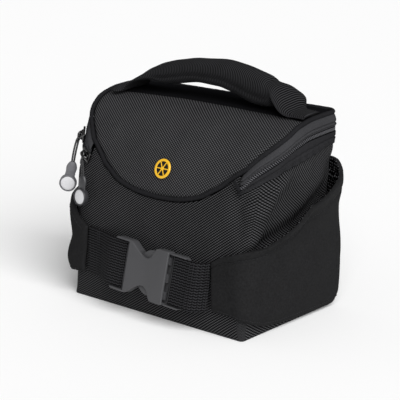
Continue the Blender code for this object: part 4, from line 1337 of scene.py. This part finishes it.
def sliders():
    """Two enamelled sliders: a waisted body, a bridge over it, and the ring that the cord runs through."""
    places = []
    down = Vector((0, 0, -1))
    for name, at, node in (
        ("slider_upper", -1.42, "zip_slider_upper"), ("slider_lower", -1.03, "zip_slider_lower"),
    ):
        z = zip_z(abs(at))
        centre = skin(at, z + 1.5, 6.4)
        along = (skin(at - 0.06, zip_z(abs(at) + 0.06)) - skin(at + 0.06, zip_z(abs(at) - 0.06))).normalized()
        out = out_from(at, z)
        side = along.cross(out).normalized()
        turn = axes(along, side.cross(along), side)
        made = rounded_box((14.0, 2.2, 11.0), Matrix.Translation(centre - out * 2.4) @ turn, 0.8, 3)
        join(made, rounded_box((10.5, 2.2, 5.6), Matrix.Translation(centre - out) @ turn, 0.7, 3))
        arch = [centre + along * (4.6 * cos(a)) + out * (-0.4 + 3.2 * sin(a)) for a in spread(0, pi, 12)]
        join(made, tube_grid(arch, lambda i, a: 1.4, 10, closed=False))
        eye = centre + out * 2.6
        hang = (out * 0.35 + down * 0.95).normalized()
        ring = [eye + down * 2.4 + side * (3.7 * cos(a)) + hang * (4.3 * sin(a)) for a in spread(0, 2 * pi, 20)]
        join(made, tube_grid(ring[:-1], lambda i, a: 1.2, 10))
        keep(name, made, [SLIDER], [node])
        places.append(eye + down * 4.9 + out * 1.2)
    return places


SLIDER_EYES = sliders()


def place_of(x, y, z):
    """A place given in shares of HALF_WIDTH, DEPTH and HEIGHT."""
    return Vector((x * HALF_WIDTH, y * DEPTH, z * HEIGHT))


UPPER_NECK = place_of(-1.082, 0.072, 0.668)
PULLS = [
    {"anchor": SLIDER_EYES[0], "bend": (SLIDER_EYES[0] + UPPER_NECK) / 2 + Vector((-0.6, -0.6, 0.8)),
     "neck": UPPER_NECK, "disc": place_of(-1.139, 0.058, 0.556), "face": Vector((0.63, -0.73, 0.2)),
     "rubber": RUBBER_PALE},
    {"anchor": SLIDER_EYES[1], "bend": place_of(-0.87, 0.0, 0.709),
     "neck": place_of(-0.842, -0.014, 0.629), "disc": place_of(-0.855, -0.03, 0.522),
     "face": Vector((-0.1, -1.0, 0.05)), "rubber": RUBBER_DARK},
]
# Tip: a tapered neck that spreads towards its round holder. Columns: share down, then half its size in mm.
tip_wide = curve_of([(0, 2.2), (0.05, 3.3), (0.12, 4.3), (0.3, 5.4), (0.5, 4.9), (0.8, 5.2), (1, 5.0)])
tip_thick = curve_of([(0, 1.7), (0.06, 2.3), (0.15, 2.7), (0.38, 2.6), (0.56, 1.6), (1, 1.2)])
# Holder and lens, turned about the disc's middle. Columns: distance out, height.
HOLDER = [
    (0, -3.0), (DISC_RADIUS - 1.0, -3.0), (DISC_RADIUS - 0.3, -2.7), (DISC_RADIUS, -2.0), (DISC_RADIUS, 2.2),
    (DISC_RADIUS - 0.25, 2.8), (DISC_RADIUS - 0.6, 3.0), (DISC_RADIUS - 1.1, 2.7), (DISC_RADIUS - 1.1, 1.6),
    (0, 1.6),
]
LENS = [
    (0, 2.95), (2.5, 2.92), (5, 2.78), (DISC_RADIUS - 1.9, 2.5), (DISC_RADIUS - 1.4, 2.2),
    (DISC_RADIUS - 1.4, 1.9), (0, 1.9),
]


def rounded_line(points, steps=3):
    """A line through these points with its bends rounded, in this many steps from point to point."""
    found = []
    for i in range(len(points) - 1):
        before, here, there = points[max(i - 1, 0)], points[i], points[i + 1]
        after = points[min(i + 2, len(points) - 1)]
        for t in spread(0, 1, steps)[:-1]:
            square = (2 * before - 5 * here + 4 * there - after) * t**2
            cube = (3 * here - before - 3 * there + after) * t**3
            found.append(0.5 * (2 * here + (there - before) * t + square + cube))
    found.append(points[-1])
    return found


def cord_line(spec, down, side):
    """Middle of the cord: up from the tip, round the slider's ring and down again beside itself."""
    run, apart = [], []
    for t in spread(0, 1, 12):
        above = spec["anchor"] * (1 - t) + spec["bend"] * t
        below = spec["bend"] * (1 - t) + (spec["neck"] + down * 3) * t
        run.append(above * (1 - t) + below * t)
        apart.append(side * (1.0 + 0.12 * sin(pi * t)))
    top = (run[0] - run[1]).normalized()
    line = [point + gap for point, gap in zip(run, apart)][::-1]
    line += [run[0] + side * cos(radians(a)) + top * sin(radians(a)) for a in (30, 60, 90, 120, 150)]
    line += [point - gap for point, gap in zip(run, apart)]
    return rounded_line(line)


def pull(number, spec):
    """A loop of cord through the slider's ring, moulded into a rubber tip that holds a round reflector."""
    neck, disc = spec["neck"], spec["disc"]
    down = (disc - neck).normalized()
    face = (spec["face"] - down * spec["face"].dot(down)).normalized()
    side = down.cross(face).normalized()
    length = (disc - neck).length
    line = cord_line(spec, down, side)
    made = tube_grid(line, lambda i, a: STRAND_RADIUS, 8, closed=False)
    cord = keep(f"pull_cord_loop_{number}", made, [STRAND], [f"pull_cord_{number}"])

    def tip_point(t, v):
        round_it = side * (tip_wide(v) * cos(2 * pi * t)) + face * (tip_thick(v) * sin(2 * pi * t))
        return neck + down * (v * length) + round_it

    made = laid_grid(spread(0, 1, 32), [0, 0.03] + spread(0.06, 0.95, 26), tip_point, wrap=True, middle=0)
    close_ends(made)
    bmesh.ops.recalc_face_normals(made, faces=made.faces)
    turn = Matrix.Translation(disc) @ axes(side, down, face)
    holder, lens = turned(HOLDER, 56), turned(LENS, 48)
    for part in (holder, lens):
        bmesh.ops.transform(part, matrix=turn, verts=part.verts)
    joined = carve(f"tip_{number}", made, joined=[holder])
    tip = keep(f"pull_tip_rubber_{number}", joined, [spec["rubber"]], [f"pull_tip_{number}"])
    tip.data.set_sharp_from_angle(angle=radians(40))
    shiny = keep(f"reflector_lens_{number}", lens, [REFLECTOR], [f"reflector_disc_{number}"])
    path = [tuple(TO_ROW @ p) for p in line]
    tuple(path[0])


for number, spec in enumerate(PULLS, 1):
    pull(number, spec)

# Badge, turned about its own middle. Columns: distance out, height. Inside the rim its face is black.
BADGE = [
    (0, -0.7), (BADGE_RADIUS, -0.7), (BADGE_RADIUS, 0.2), (BADGE_RADIUS - 0.5, 0.7), (BADGE_RADIUS - 2.2, 0.7),
    (BADGE_RADIUS - 2.5, 0.25), (0, 0.25),
]


def badge():
    """A round enamelled badge with a plain spoked wheel."""
    low, high = lid_row(0.65, 0.5, LID_CROWN), lid_row(0.86, 0.5, LID_CROWN)
    across = Vector((1, 0, 0))
    up = (high - low).normalized()
    out = across.cross(up).normalized()
    place = (low + high) / 2 + out * 1.6 + across * (0.035 * HALF_WIDTH)
    turn = Matrix.Translation(place) @ axes(across, up, out)
    made = turned(BADGE, 64)
    for face in made.faces:
        middle = face.calc_center_median()
        face.material_index = int(hypot(middle.x, middle.y) < BADGE_RADIUS - 2.4 and middle.z > 0.2)
    bmesh.ops.transform(made, matrix=turn, verts=made.verts)
    piece = keep("lid_badge", made, [ENAMEL_YELLOW, ENAMEL_BLACK], ["badge"])
    piece.data.set_sharp_from_angle(angle=radians(30))
    wheel = bmesh.new()
    for i in range(6):
        spoke = Matrix.Rotation(2 * pi * i / 6, 4, "Z") @ Matrix.Translation((3.6, 0, 0.4))
        join(wheel, rounded_box((6.8, 1.0, 0.5), turn @ spoke, 0.15))
    hub = bmesh.new()
    bmesh.ops.create_cone(hub, cap_ends=True, segments=28, radius1=1.9, radius2=1.7, depth=0.6)
    bmesh.ops.transform(hub, matrix=turn @ Matrix.Translation((0, 0, 0.5)), verts=hub.verts)
    join(wheel, hub)
    keep("badge_wheel", wheel, [ENAMEL_YELLOW], smooth=False)


badge()

plate_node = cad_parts["mounting_plate"]
plate_node.data.materials.clear()
plate_node.data.materials.append(PLATE)


# Floor in metres. The softbox is high on the right, a little in front, and its light is even over the floor.
FLOOR_REACH = 15.0
GLOW_STRENGTH = 0.26
KEY_STRENGTH = 3.9
KEY_SPREAD = radians(56)
KEY_FROM = Vector((0.72, -0.42, 0.62))


def stage():
    """A plain pale floor, a very large softbox and a weak even glow from all round."""
    scene = bpy.context.scene
    scene.view_settings.view_transform = "Standard"
    made = bmesh.new()
    bmesh.ops.create_grid(made, x_segments=1, y_segments=1, size=FLOOR_REACH)
    floor = mesh_object("floor", made)
    floor.data.materials.append(shader_of("pale_paper", Base_Color=linear("#ffffff"), Roughness=0.9)[0])
    world = bpy.data.worlds.new("studio")
    scene.world = world
    world.use_nodes = True
    glow = world.node_tree.nodes["Background"]
    glow.inputs["Color"].default_value = linear("#ffffff")
    glow.inputs["Strength"].default_value = GLOW_STRENGTH
    key = bpy.data.lights.new("key_softbox", "SUN")
    key.energy = KEY_STRENGTH
    key.angle = KEY_SPREAD
    lamp = bpy.data.objects.new("key_softbox", key)
    scene.collection.objects.link(lamp)
    lamp.rotation_euler = KEY_FROM.to_track_quat("Z", "Y").to_euler()


stage()
